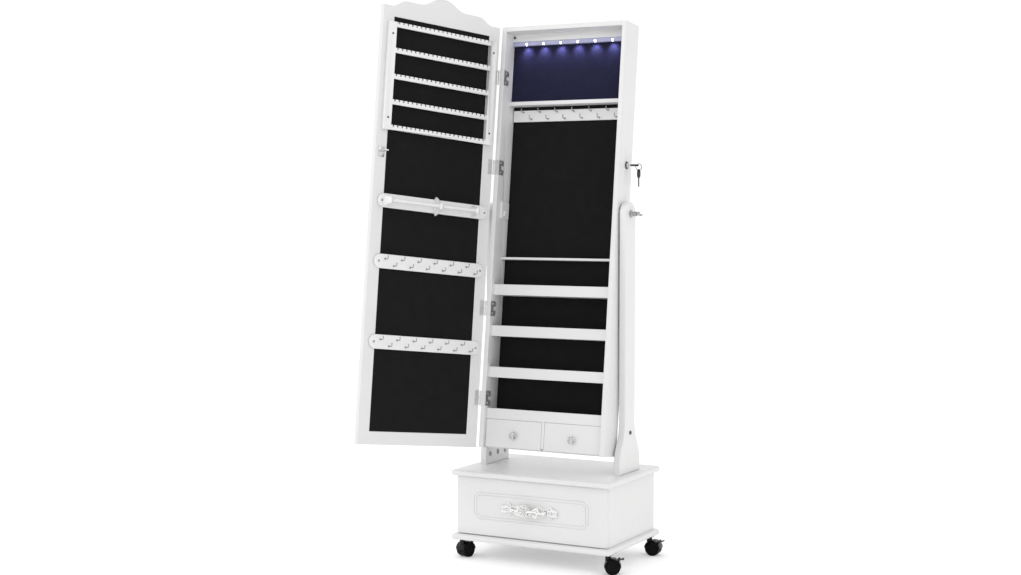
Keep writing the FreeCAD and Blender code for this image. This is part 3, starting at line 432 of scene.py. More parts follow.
class Finish:
    """A procedural material: one shader, and textures in the piece's own space that vary it."""

    def __init__(self, name, colour, roughness, local=False, **sockets):
        self.material = bpy.data.materials.new(name)
        self.material.use_nodes = True
        self.tree = self.material.node_tree
        self.shader = self.tree.nodes["Principled BSDF"]
        self.shader.inputs["Base Color"].default_value = (*colour, 1)
        self.shader.inputs["Roughness"].default_value = roughness
        for socket, value in sockets.items():
            self.shader.inputs[socket.replace("_", " ")].default_value = value
        if local:
            source = self.tree.nodes.new("ShaderNodeAttribute")
            source.attribute_name = "local"
            self.space = source.outputs["Vector"]
            self.unit = 1.0
        else:
            source = self.tree.nodes.new("ShaderNodeTexCoord")
            self.space = source.outputs["Object"]
            self.unit = MM

    def node(self, kind, **inputs):
        """A new shader node, with its inputs set."""
        made = self.tree.nodes.new("ShaderNode" + kind)
        for socket, value in inputs.items():
            made.inputs[socket.replace("_", " ")].default_value = value
        return made

    def link(self, output, made, socket):
        self.tree.links.new(output, made.inputs[socket])

    def noise(self, size, detail=2.0, stretch=(1, 1, 1)):
        """Cloudy noise whose features are about size millimetres across."""
        mapping = self.node("Mapping", Scale=stretch)
        made = self.node("TexNoise", Scale=1 / (size * self.unit), Detail=detail)
        self.link(self.space, mapping, "Vector")
        self.link(mapping.outputs["Vector"], made, "Vector")
        return made.outputs["Fac"]

    def cells(self, size):
        """Distance to the nearest of many scattered points, size millimetres apart."""
        made = self.node("TexVoronoi", Scale=1 / (size * self.unit))
        self.link(self.space, made, "Vector")
        return made.outputs["Distance"]

    def bands(self, size, direction):
        """Even ribs along one axis, size millimetres apart."""
        made = self.node("TexWave", Scale=WAVE_RATE / (size * self.unit), Distortion=0.6)
        made.bands_direction = direction
        self.link(self.space, made, "Vector")
        return made.outputs["Fac"]

    def attribute(self, name):
        made = self.node("Attribute")
        made.attribute_name = name
        return made.outputs["Fac"]

    def times(self, one, two):
        made = self.node("Math")
        made.operation = "MULTIPLY"
        self.link(one, made, 0)
        self.link(two, made, 1)
        return made.outputs["Value"]

    def tint(self, factor, dark, light, low=0.3, high=0.7):
        """Colours the piece from dark to light as the factor goes from low to high."""
        made = self.node("ValToRGB")
        for stop, place, colour in zip(made.color_ramp.elements, (low, high), (dark, light)):
            stop.position = place
            stop.color = (*colour, 1)
        self.link(factor, made, "Fac")
        self.link(made.outputs["Color"], self.shader, "Base Color")

    def gloss(self, factor, low, high):
        """Varies the roughness from low to high over the middle of the factor's range."""
        made = self.node("MapRange", From_Min=0.3, From_Max=0.7, To_Min=low, To_Max=high)
        self.link(factor, made, "Value")
        self.link(made.outputs["Result"], self.shader, "Roughness")

    def bump(self, factor, depth):
        """Relief of a depth in millimetres."""
        made = self.node("Bump", Distance=depth * MM)
        self.link(factor, made, "Height")
        self.link(made.outputs["Normal"], self.shader, "Normal")


def grey(value, warmth=0.0):
    """A near-neutral colour, a little warmer or cooler than grey."""
    return (value * (1 + warmth), value, value * (1 - warmth))


def painted(name, value):
    """Sprayed satin paint: faint clouding, a fine orange peel and uneven gloss."""
    finish = Finish(name, grey(value), 0.36, Coat_Weight=0.12, Coat_Roughness=0.2)
    finish.tint(finish.noise(140), grey(value * 0.975, 0.002), grey(value, 0.001))
    finish.gloss(finish.noise(12), 0.32, 0.44)
    finish.bump(finish.noise(1.6), 0.02)
    return finish.material


def velvet(name, colour, sheen):
    """Short pile on a fine weave, brushed unevenly."""
    finish = Finish(name, colour, 0.95, local=True, Sheen_Weight=sheen, Sheen_Roughness=0.45,
                    Sheen_Tint=(0.5, 0.5, 0.56, 1), Specular_IOR_Level=0.1)
    finish.tint(finish.noise(0.7, 4.0), tuple(c * 0.5 for c in colour), tuple(c * 1.7 for c in colour))
    finish.bump(finish.times(finish.bands(1.1, "X"), finish.bands(1.1, "Z")), 0.25)
    finish.gloss(finish.noise(30), 0.85, 1.0)
    return finish.material


def metal(name, colour, roughness, grain=0.9, metallic=1.0):
    """Plated metal with fine brushing and handling marks."""
    finish = Finish(name, colour, roughness, Metallic=metallic)
    finish.tint(finish.noise(7), tuple(c * 0.85 for c in colour), colour)
    finish.gloss(finish.noise(grain, 3.0, (1, 1, 6)), roughness * 0.75, roughness * 1.3)
    finish.bump(finish.noise(grain * 0.5), 0.008)
    return finish.material


def plastic(name, value, roughness, shine=0.5):
    """Moulded plastic with a fine spark-eroded grain."""
    finish = Finish(name, grey(value), roughness, Specular_IOR_Level=shine)
    finish.tint(finish.noise(5), grey(value * 0.75), grey(value * 1.25))
    finish.gloss(finish.noise(3), roughness * 0.85, roughness * 1.15)
    finish.bump(finish.cells(0.45), 0.02)
    return finish.material


def pale_board(name):
    """Sealed board with a faint long grain."""
    finish = Finish(name, (0.7, 0.66, 0.58), 0.5, local=True)
    grain = finish.noise(3.5, 5.0, (1, 0.05, 1))
    finish.tint(grain, (0.62, 0.57, 0.49), (0.74, 0.70, 0.63))
    finish.gloss(finish.noise(9), 0.45, 0.58)
    finish.bump(grain, 0.04)
    return finish.material


def silvering(name):
    """Mirror glass with the faintest smears."""
    finish = Finish(name, (0.93, 0.94, 0.94), 0.01, Metallic=1.0)
    finish.tint(finish.noise(220), (0.92, 0.935, 0.935), (0.94, 0.95, 0.945))
    finish.gloss(finish.noise(60, 6.0), 0.0, 0.03)
    return finish.material


def antique_white_painted_shade(name):
    """Cast metal in white enamel: a grey wash left in its hollows, darkened further there as painted shade."""
    finish = Finish(name, grey(0.78), 0.34, Coat_Weight=0.25, Coat_Roughness=0.15)
    # Painted shade: the deeper a vertex lies in a hollow, the darker grey it goes, on top of the grey antique
    # wash.
    finish.tint(finish.attribute("hollow"), grey(0.80, 0.004), grey(0.22, 0.01), 0.50, 0.76)
    finish.gloss(finish.noise(4), 0.26, 0.42)
    finish.bump(finish.noise(0.8), 0.03)
    return finish.material


def clear_glass(name):
    """Cut crystal, with slight haze in patches."""
    finish = Finish(name, (0.97, 0.98, 1.0), 0.02, Transmission_Weight=1.0, IOR=1.52)
    finish.tint(finish.noise(6), (0.93, 0.95, 0.98), (1.0, 1.0, 1.0))
    finish.gloss(finish.noise(5), 0.0, 0.05)
    return finish.material


def milky(name):
    """Frosted light bar, faintly lit from inside."""
    finish = Finish(name, (0.34, 0.35, 0.50), 0.35, Emission_Color=(0.45, 0.46, 0.75, 1),
                    Emission_Strength=0.05)
    finish.tint(finish.noise(25), (0.31, 0.32, 0.47), (0.37, 0.38, 0.54))
    finish.gloss(finish.noise(6), 0.28, 0.42)
    finish.bump(finish.noise(1.2), 0.02)
    return finish.material


def glowing(name):
    """A lit lens: bright in the middle of each die, with a faint pattern."""
    finish = Finish(name, (0.9, 0.9, 1.0), 0.15, Emission_Color=(0.85, 0.86, 1.0, 1), Emission_Strength=9.0)
    finish.tint(finish.cells(1.5), (0.95, 0.95, 1.0), (0.75, 0.76, 0.95))
    finish.gloss(finish.noise(2), 0.1, 0.2)
    return finish.material


WHITE = painted("satin_white", 0.69)
PLATE_WHITE = painted("moulded_white", 0.74)
VELVET = velvet("black_velvet", (0.0075, 0.0075, 0.008), 0.13)
# The lamp bay's velvet is the same black velvet, with the lamps' blue light painted into its colour as a navy
# tint.
VELVET_PAINTED_LAMPLIGHT = velvet("velvet_with_painted_lamplight", (0.013, 0.013, 0.032), 0.08)
NICKEL = metal("nickel", (0.62, 0.61, 0.60), 0.26)
DARK_METAL = metal("dark_oxide", (0.10, 0.10, 0.105), 0.38)
GUNMETAL = metal("gunmetal", (0.11, 0.11, 0.115), 0.30)
WING_STEEL = metal("wing_steel", (0.42, 0.42, 0.43), 0.24)
HINGE_STEEL = metal("satin_nickel", (0.70, 0.70, 0.70), 0.34, metallic=0.75)
HOOK_STEEL = metal("hook_nickel", (0.40, 0.40, 0.40), 0.3)
BLACK = plastic("black_plastic", 0.002, 0.16, 0.24)
RUBBER = plastic("tread_rubber", 0.002, 0.4, 0.10)
KEY_BLACK = plastic("key_black", 0.006, 0.45, 0.25)
RING_GREY = plastic("grey_ring", 0.22, 0.4)
PALE = pale_board("drawer_board")
MIRROR = silvering("mirror_silver")
CAST = antique_white_painted_shade("antique_white_painted_shade")
CRYSTAL = clear_glass("crystal")
LIGHT_BAR = milky("light_bar")
LENS = glowing("lens")


# ---------------------------------------------------------------- base
def moulded_board(node):
    """A base board with a nosed edge and a fine quirk round its top face."""
    low, high = local_box(node, FLOOR)
    middle = (low + high) / 2
    half = (high - low) / 2
    thick = high.z - low.z
    nose = 5.0
    quirk = 1.3
    corner = 7.0
    sections = quarter(nose, 5)
    sections += [(i, thick - quirk - h) for i, h in reversed(quarter(nose - 0.6, 5))]
    sections += [(nose + 0.3, thick - quirk)]
    sections += [(nose + 0.3 + i, thick - h) for i, h in reversed(quarter(0.8, 2))]
    form = Form()
    rings = []
    for distance, height in sections:
        plan = rounded_rectangle(half.x - distance, half.y - distance, max(corner - distance, 0.5))
        rings.append([Vector((middle.x + p.x, middle.y + p.y, low.z + height)) for p in plan])
    form.skin(rings)
    piece(node + "_moulded", form, FLOOR, node, [WHITE], crease=50)


STEM_HALF = 30.0
FOOT_STRAIGHT = 20.0
BELL_TOP = 360.0
FASTENER_Y = joint_place("cabinet_tilt").y / MM
PIVOT_Z = joint_place("cabinet_tilt").z / MM
BOLT_Z = 332.0
CAM_PITCH = 40.0
CAM_RISE = 26.0                # cam locks above the base's top
CAM_BORE = 7.6
BOLT_BORE = 3.1
PIVOT_BORE = 4.1


def upright_outline(low, high):
    foot = (high.y - low.y) / 2
    shoulder = (foot, low.z + FOOT_STRAIGHT)
    neck = (STEM_HALF, BELL_TOP)
    right = [(foot, low.z), shoulder] + s_curve(shoulder, neck, 1) + [neck]
    right += arc((0, PIVOT_Z), STEM_HALF, 0, 90, 14)[:-1]
    return both_sides(right, [(0, PIVOT_Z + STEM_HALF)])


def cam_places():
    base_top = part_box("base_top_board")[1].z / MM
    return [Vector((0, FASTENER_Y + step * CAM_PITCH, base_top + CAM_RISE)) for step in (-1, 0, 1)]


def upright(side):
    """A bell-footed upright, bored for its cam locks and bolts."""
    low, high = local_box("upright_right", FLOOR)
    form = Form()
    form.prism(upright_outline(low, high), high.x - low.x, plane_yz(low.x) @ shift(FASTENER_Y), 2.6, 4)
    holes = Form()
    for place in cam_places():
        holes.lathe([(CAM_BORE, -1), (CAM_BORE, 12)], axis_frame((low.x, place.y, place.z), (1, 0, 0)))
    for height, radius in ((BOLT_Z, BOLT_BORE), (PIVOT_Z, PIVOT_BORE)):
        holes.lathe([(radius, -1), (radius, 20)], axis_frame((low.x, FASTENER_Y, height), (1, 0, 0)), 24)
    place = FLOOR if side == "right" else FLOOR @ MIRROR_X
    piece("upright_" + side + "_turned", form, place, "upright_" + side, [WHITE], holes=holes, crease=38)


def upright_fasteners():
    """Cam locks with a crossed recess, and a socket-head bolt above them."""
    inner = local_box("upright_right", FLOOR)[0].x
    outer = local_box("upright_right", FLOOR)[1].x
    form = Form()
    holes = Form()
    for turn in (IDENTITY, MIRROR_X):
        for place in cam_places():
            face = turn @ axis_frame((inner + 0.2, place.y, place.z), (1, 0, 0))
            form.lathe([(5.2, 1.2), (5.6, 0.0), (7.1, 0.0), (7.5, 0.5), (7.5, 11.0)], face, 36)
            for quarter_turn in (0, 1):
                slot = face @ Matrix.Rotation(math.pi * (0.15 + quarter_turn / 2), 4, "Z")
                holes.prism(rounded_rectangle(4.2, 0.8, 0.3, 1), 3.0, slot @ shift(z=-0.5))
        head = turn @ axis_frame((outer, FASTENER_Y, BOLT_Z), (1, 0, 0))
        form.lathe([(3.0, -18), (3.0, 0), (5.0, 0), (5.0, 1.6), (4.3, 2.6), (3.0, 3.0)], head, 32)
        holes.prism(circle(2.2, count=6), 3.0, head @ shift(z=1.2))
    piece("cam_locks_and_bolts", form, FLOOR, "upright_fasteners", [GUNMETAL], holes=holes)


def sockets():
    """A pressed plate round each caster's stem, with three rivets."""
    plate_deep = 3.0
    rivet_ring = 9.2
    form = Form()
    for corner in CASTERS:
        stem = joint_place("swivel_" + corner) / MM
        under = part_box("base_bottom_board")[0].z / MM
        at = shift(stem.x, stem.y, under)
        form.lathe([(4.2, -plate_deep), (11.8, -plate_deep), (13, -2.2), (13, -0.4), (12.6, 0),
                    (6.5, 0), (6.5, 12)], at, 36)
        for index in range(3):
            angle = 2 * math.pi * index / 3 + 0.4
            rivet = at @ shift(rivet_ring * math.cos(angle), rivet_ring * math.sin(angle), -plate_deep)
            form.ball(rivet.translation, (1.3, 1.3, 0.6), segments=10)
    piece("caster_socket_plates", form, FLOOR, "caster_sockets", [NICKEL])


def base():
    moulded_board("base_top_board")
    moulded_board("base_bottom_board")
    boards("base_walls", FLOOR, WHITE, 0.7)
    boards("drawer_runners", FLOOR, PALE, 0.8)
    boards("base_drawer_box", FLOOR, PALE, 0.7)
    shaped("base_drawer_front", FLOOR, WHITE, 0.3)
    for side in ("left", "right"):
        upright(side)
    upright_fasteners()
    sockets()


# ---------------------------------------------------------------- drawer pull
PULL_MIDDLE = Vector((-2.0, 0, 140.0))
POST_X = 46.0
ROSE = Vector((-9.0, 16.5, 1.5))


def rose(form, centre, radius, whorls=3):
    """Petals in whorls round a coiled heart. It faces out of the drawer, along +Y."""
    for whorl in range(whorls):
        count = 7 - whorl
        spread = radius * (0.78 - 0.26 * whorl)
        for index in range(count):
            angle = 2 * math.pi * (index + 0.45 * whorl) / count
            out = Vector((math.cos(angle), 0, math.sin(angle)))
            tilt = Matrix.Rotation(-angle, 4, "Y") @ Matrix.Rotation(math.radians(28 + 18 * whorl), 4, "Z")
            size = radius * (0.40 - 0.07 * whorl)
            middle = centre + out * spread + Vector((0, 1.3 * whorl, 0))
            form.ball(middle, (size * 0.9, size * 0.42, size), tilt, 10)
    heart = []
    for step in range(26):
        angle = step * 0.55
        reach = radius * 0.30 * (1 - step / 30)
        heart.append(centre + Vector((reach * math.cos(angle), 2.6 + step * 0.05, reach * math.sin(angle))))
    form.tube(heart, [1.3 - 0.02 * i for i in range(26)], 8)


def leaf(form, root, angle, length, width, lift=2.0):
    """A pointed leaf with a raised rib and scalloped lobes, lying in X and Z."""
    along = Vector((math.cos(angle), 0, math.sin(angle)))
    across = Vector((-math.sin(angle), 0, math.cos(angle)))
    rib = [root + along * length * t + Vector((0, lift * math.sin(math.pi * t), 0))
           for t in (0, 0.2, 0.4, 0.6, 0.8, 1)]
    form.tube(rib, [1.5, 1.5, 1.3, 1.1, 0.8, 0.35], 8)
    for side in (-1, 1):
        for index in range(4):
            t = 0.12 + 0.21 * index
            size = width * math.sin(math.pi * (0.25 + 0.6 * t)) * 0.62
            middle = root + along * length * t + across * side * size * 0.72 + Vector((0, lift * 0.6, 0))
            turn = Matrix.Rotation(-angle - side * 0.7, 4, "Y")
            form.ball(middle, (size, 1.25, size * 0.5), turn, 10)


def volute(form, centre, radius, hand, start, wire=1.5):
    """A scroll that winds inward, lying in X and Z."""
    path = []
    radii = []
    for step in range(30):
        angle = start + hand * step * 0.34
        reach = radius * (1 - step / 34)
        path.append(centre + Vector((reach * math.cos(angle), 0.05 * step, reach * math.sin(angle))))
        radii.append(wire * (1 - 0.5 * step / 30))
    form.tube(path, radii, 8)
    form.ball(path[-1] + Vector((0, 0.6, 0)), (1.5, 1.5, 1.5), segments=10)


def pull_form():
    """A bow pull: end plates of leaves and scrolls, posts, a leafy grip and a rose beside its middle."""
    form = Form()
    steps = 40
    grip = []
    radii = []
    for step in range(steps + 1):
        share = step / steps * 2 - 1
        bow = math.cos(share * math.pi / 2)
        grip.append(Vector((share * (POST_X + 3), 11.5 + 4.5 * bow, 1.6 * math.sin(share * 5))))
        radii.append(2.6 + 0.9 * bow + 0.45 * math.cos(step * 1.9))
    form.tube(grip, radii, 12)
    for side in (-1, 1):
        x = side * POST_X
        form.lathe([(7.0, 0), (6.0, 1.2), (4.0, 3.0), (3.4, 7.5), (4.6, 12.5), (3.0, 14.6)],
                   axis_frame((x, 0, 0), (0, 1, 0)), 20)
        form.ball(Vector((x, 1.2, 0)), (15, 1.9, 9.5))
        outward = 0 if side > 0 else math.pi
        leaf(form, Vector((x + side * 4, 1.6, 0)), outward, 34, 11.5, 3.2)
        leaf(form, Vector((x + side * 6, 1.2, 3)), outward + side * 0.7, 18, 8.5)
        leaf(form, Vector((x + side * 6, 1.2, -3)), outward - side * 0.7, 18, 8.5)
        leaf(form, Vector((x - side * 4, 1.4, 1)), math.pi - outward - side * 0.35, 26, 9.5)
        leaf(form, Vector((x - side * 4, 1.4, -2)), math.pi - outward + side * 0.4, 24, 9)
        volute(form, Vector((x + side * 12, 2.6, 9.0)), 6.2, side, -math.pi / 2, 1.9)
        volute(form, Vector((x + side * 14, 2.6, -9.0)), 6.0, -side, math.pi / 2, 1.9)
        rose(form, Vector((side * 27 + 1, 13.0, -1.5 * side)), 7.4, 2)
        leaf(form, Vector((side * 16, 14.5, 1)), outward + 0.35, 20, 8.5, 1.6)
        leaf(form, Vector((side * 14, 14.5, -1)), outward - 0.5, 19, 8.5, 1.6)
    rose(form, ROSE, 12.6)
    for index in range(7):
        angle = 2 * math.pi * (index + 0.2) / 7
        root = ROSE + Vector((7 * math.cos(angle), -2.5, 7 * math.sin(angle)))
        leaf(form, root, angle, 9.0, 7, 1.2)
    rose(form, Vector((10.5, 14.5, -4.0)), 8.0, 2)
    return form


def hollows(mesh, rounds=14, depth=0.35):
    """Marks each vertex with how deep it lies in a hollow: 0.5 on a plain, 1 in a deep recess."""
    count = len(mesh.vertices)
    points = np.empty(count * 3)
    normals = np.empty(count * 3)
    mesh.vertices.foreach_get("co", points)
    mesh.vertices.foreach_get("normal", normals)
    points = points.reshape(-1, 3) / MM
    normals = normals.reshape(-1, 3)
    edges = np.empty(len(mesh.edges) * 2, int)
    mesh.edges.foreach_get("vertices", edges)
    edges = edges.reshape(-1, 2)
    degree = np.bincount(edges.ravel(), minlength=count)[:, None]
    blurred = points.copy()
    for _ in range(rounds):
        total = np.zeros_like(points)
        np.add.at(total, edges[:, 0], blurred[edges[:, 1]])
        np.add.at(total, edges[:, 1], blurred[edges[:, 0]])
        blurred = total / degree
    sunk = ((blurred - points) * normals).sum(1)
    values = np.clip(0.5 + sunk / (2 * depth), 0, 1)
    mesh.attributes.new("hollow", "FLOAT", "POINT").data.foreach_set("value", values.astype(np.float32))


def drawer_pull():
    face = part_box("base_drawer_front")[0].y / MM
    place = FLOOR @ shift(PULL_MIDDLE.x, face, PULL_MIDDLE.z) @ TURN_Y
    made = mesh_object("floral_pull", pull_form(), place)
    cast = made.modifiers.new("Cast", "REMESH")
    cast.mode = "VOXEL"
    cast.voxel_size = 0.5 * MM
    soften = made.modifiers.new("Soften", "SMOOTH")
    soften.factor = 0.5
    soften.iterations = 2
    settle(made)
    # The hollow measure drives the pull's grey wash and the shade painted into its recesses.
    hollows(made.data)
    dress(made, place, "base_drawer_pull", [CAST], crease=180)


# ---------------------------------------------------------------- casters
WHEEL_R = 19.0
HOOD_IN = 19.95
HOOD_OUT = 21.8
HOOD_HALF = 15.8


def wheel_profile():
    """One of the twin wheels, from its inner face to its domed hub cap, as (radius, distance out)."""
    shoulder = [(WHEEL_R - i, 1.8 + h) for i, h in quarter(1.8, 3)]
    groove = [(WHEEL_R, 7.2), (WHEEL_R - 0.5, 7.7), (WHEEL_R - 0.5, 8.9), (WHEEL_R, 9.4)]
    outer = [(WHEEL_R - i, 15.3 - h) for i, h in reversed(quarter(1.8, 3))]
    dish = [(16.0, 15.3), (15.3, 14.7), (14.9, 13.7), (13.6, 13.4), (9.0, 13.7), (7.2, 13.8),
            (6.8, 14.7), (6.0, 15.1), (0.3, 15.25)]
    return [(2.6, 1.8)] + shoulder + groove + outer + dish


def hood_section(angle):
    """The fender's crowned, rolled-edge section at an angle about the axle, in the caster's frame."""
    reach = HOOD_HALF - 0.4
    outer = [(y, HOOD_OUT - 1.1 * abs(y / HOOD_HALF) ** 3) for y in np.linspace(-reach, reach, 9)]
    inner = [(y, HOOD_IN) for y in np.linspace(reach, -reach, 5)]
    right_rim = [(HOOD_HALF, HOOD_IN + 0.35)]
    left_rim = [(-HOOD_HALF, HOOD_IN + 0.35)]
    section = outer + right_rim + inner + left_rim
    return [(radius * math.cos(angle), y, radius * math.sin(angle)) for y, radius in section]


def caster(corner):
    """A swivel caster: twin wheels, a fender with its web, boss and stem, and a brake pedal."""
    place = caster_frame(corner)
    back = place.inverted()
    axle = back @ joint_place("roll_" + corner)
    pin = back @ joint_place("brake_" + corner)
    node = "caster_" + corner
    at_axle = shift(axle.x, 0, axle.z)

    wheels = Form()
    for side in (1, -1):
        face = at_axle @ axis_frame((0, 0, 0), (0, side, 0))
        wheels.lathe(wheel_profile(), face, 48)
    piece(node + "_twin_wheels", wheels, place, node + "_wheels", [RUBBER], crease=30)

    hood = Form()
    rings = []
    for index in range(29):
        angle = math.radians(3 + 174 * index / 28)
        rings.append([at_axle @ Vector(p) for p in hood_section(angle)])
    hood.skin(rings)
    web = arc((0, 0), HOOD_IN + 0.4, -18, 198, 30)
    hood.prism(web, 3.0, at_axle @ plane_xz(-1.5), 0.3, 1)
    for side in (-1, 1):
        ear = at_axle.inverted() @ Vector((pin.x, 0, pin.z))
        start = 6.3 if side > 0 else -8.3
        hood.prism(circle(3.4, (ear.x, ear.z), 24), 2.0, at_axle @ plane_xz(start), 0.4, 2)
    piece(node + "_fender", hood, place, node + "_hood", [BLACK], crease=32)

    boss = Form()
    boss.lathe([(7.6, 26), (7.2, 40), (7.0, 44.6), (6.2, 46.4)], segments=32)
    hollow = Form()
    hollow.lathe([(HOOD_IN, -20), (HOOD_IN, 20)], at_axle @ axis_frame((0, 0, 0), (0, 1, 0)), 48)
    piece(node + "_boss", boss, place, node + "_hood", [BLACK], holes=hollow)

    steel = Form()
    steel.lathe([(5.4, 45.6), (5.4, 46.8), (4.0, 46.9), (4.0, 60.5), (3.2, 61.3)], segments=24)
    steel.lathe([(1.0, -8.6), (1.0, 8.6)], shift(pin.x, 0, pin.z) @ axis_frame((0, 0, 0), (0, 1, 0)), 16)
    piece(node + "_stem", steel, place, node + "_hood", [RING_GREY])

    lever = Form()
    lever.lathe([(2.1, -5.9), (2.1, 5.9)], shift(pin.x, 0, pin.z) @ axis_frame((0, 0, 0), (0, 1, 0)), 20)
    low = pin.z - 0.2
    side_view = [(pin.x, low), (pin.x + 7, low - 0.1), (pin.x + 11.3, low + 0.7), (pin.x + 12.0, low + 2.6),
                 (pin.x + 10.8, low + 2.9), (pin.x + 6.5, low + 2.0), (pin.x, low + 2.1)]
    outline = [Vector(p) for p in side_view]
    lever.prism(outline, 11.8, plane_xz(-5.9), 0.5, 2)
    pad = [Vector(p) for p in side_view[1:6]]
    lever.prism(pad, 17.8, plane_xz(-8.9), 0.6, 2)
    for rib in range(3):
        x = pin.x + 7.4 + 1.5 * rib
        lever.tube([(x, -7.2, low + 2.2 + 0.35 * rib), (x, 7.2, low + 2.2 + 0.35 * rib)], 0.4, 8)
    piece(node + "_pedal", lever, place, node + "_brake", [BLACK], crease=45)


# ---------------------------------------------------------------- cabinet
RAIL_Z = 285.0                 # the rail under the lamps
CASE_INNER, CASE_OUTER = (corner.x for corner in local_box("cabinet_side_right", CABINET))


def cabinet_case():
    for side in ("left", "right"):
        shaped("cabinet_side_" + side, CABINET, WHITE, 1.1)
    for node in ("cabinet_top", "cabinet_floor", "cabinet_back", "cabinet_rails", "hook_strip",
                 "lipped_shelves", "drawer_divider"):
        boards(node, CABINET, WHITE, 0.7)
    for index, (low, high) in enumerate(solids("velvet_lining", CABINET)):
        form = Form()
        form.box(low, high)
        # Velvet above the rail takes the painted lamplight tint; the rest stays plain black.
        finish = VELVET_PAINTED_LAMPLIGHT if low.z > RAIL_Z else VELVET
        piece("velvet_board_%d" % index, form, CABINET, "velvet_lining", [finish], edge=0.5)
    shaped("light_cornice", CABINET, WHITE, 0.5)
    shaped("battery_box", CABINET, BLACK, 0.3)


def lamps():
    """The milky light bar, its six lenses in their bezels, and the light that they throw."""
    parts = solids("light_strip", CABINET)
    bar = max(parts, key=lambda pair: pair[1].x - pair[0].x)
    form = Form()
    form.box(*bar)
    piece("light_bar", form, CABINET, "light_strip", [LIGHT_BAR], edge=1.0, steps=3)
    lenses = Form()
    bezels = Form()
    for low, high in parts:
        if high.x - low.x > 20:
            continue
        x = (low.x + high.x) / 2
        z = high.z - (high.x - low.x) / 2
        face = axis_frame((x, bar[0].y, z), (0, -1, 0))
        bezels.lathe([(3.4, -0.5), (4.4, -0.5), (4.4, 0.5), (4.0, 0.9), (3.4, 0.9)], face, 28)
        lenses.lathe([(3.3, -0.5), (3.3, 0.4), (2.6, 1.1), (1.5, 1.45), (0.2, 1.5)], face, 24)
        beam(x, bar[0].y - 5, bar[0].z - 1.5)
    piece("lamp_bezels", bezels, CABINET, "light_strip", [LIGHT_BAR])
    piece("lamp_lenses", lenses, CABINET, "light_strip", [LENS])


def beam(x, y, z):
    """One lamp's light, thrown down along the velvet."""
    spread = 104.0             # degrees
    lean_in = 0.75             # how far the beam goes back for each unit down
    data = bpy.data.lights.new("lamp_beam", "SPOT")
    data.color = (0.60, 0.60, 1.0)
    data.energy = 0.30
    data.spot_size = math.radians(spread)
    data.spot_blend = 1.0
    data.shadow_soft_size = 0.004
    light = bpy.data.objects.new("lamp_beam", data)
    bpy.context.scene.collection.objects.link(light)
    aim = (CABINET.to_3x3() @ Vector((0, lean_in, -1))).normalized()
    light.location = CABINET @ Vector((x, y, z))
    light.rotation_mode = "QUATERNION"
    light.rotation_quaternion = aim.to_track_quat("-Z", "Y")
    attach(light, "cabinet")


def sensor():
    """The light sensor's bezel and its dark eye."""
    low, high = local_box("light_sensor", CABINET)
    middle = (low + high) / 2
    face = axis_frame((middle.x, low.y, middle.z), (0, -1, 0))
    form = Form()
    form.lathe([(3.5, -6), (3.5, 0), (2.9, 0), (2.6, -0.4)], face, 28)
    form.finish = 1
    form.lathe([(2.6, -2), (2.6, -0.5), (1.6, 0.0), (0.2, 0.15)], face, 24)
    piece("sensor_eye", form, CABINET, "light_sensor", [DARK_METAL, BLACK])


def cabinet_hooks():
    """The necklace hooks, each standing on its CAD hook's root."""
    form = Form()
    for low, high in solids("cabinet_hooks", CABINET):
        form.hook(Matrix.Translation(((low.x + high.x) / 2, high.y, low.z + 1.1)) @ TURN_Y)
    piece("necklace_hooks", form, CABINET, "cabinet_hooks", [HOOK_STEEL], crease=50)


def small_drawers():
    """Two small drawers, each with a faceted crystal knob on a beaded collar."""
    for side in ("left", "right"):
        boards("small_drawer_" + side, CABINET, WHITE, 0.8)
        node = "small_knob_" + side
        low, high = local_box(node, CABINET)
        middle = (low + high) / 2
        face = axis_frame((middle.x, high.y, middle.z), (0, -1, 0)) @ Matrix.Rotation(math.pi / 8, 4, "Z")
        depth = high.y - low.y
        radius = (high.x - low.x) / 2
        crystal = Form()
        rings = ((0.48, 3.0), (0.95, 5.6), (1.0, 7.0), (0.86, 9.4), (0.52, depth))
        rows = []
        for index, (share, height) in enumerate(rings):
            turned = face @ Matrix.Rotation(math.pi / 8 * (index % 2), 4, "Z")
            rows.append([turned @ Vector((p.x, p.y, height)) for p in circle(radius * share, count=8)])
        crystal.skin(rows)
        piece(node + "_crystal", crystal, CABINET, node, [CRYSTAL], crease=8)
        collar = Form()
        profile = [(5.6, -0.5), (5.8, 0.6), (4.4, 1.4), (3.6, 2.2), (5.2, 2.9), (5.6, 3.6), (4.8, 3.7)]
        collar.lathe(profile, face, 32)
        for p in circle(4.4, count=8):
            collar.ball(face @ Vector((p.x, p.y, 3.6)), (0.8, 0.8, 0.8), segments=8)
        piece(node + "_collar", collar, CABINET, node, [NICKEL])


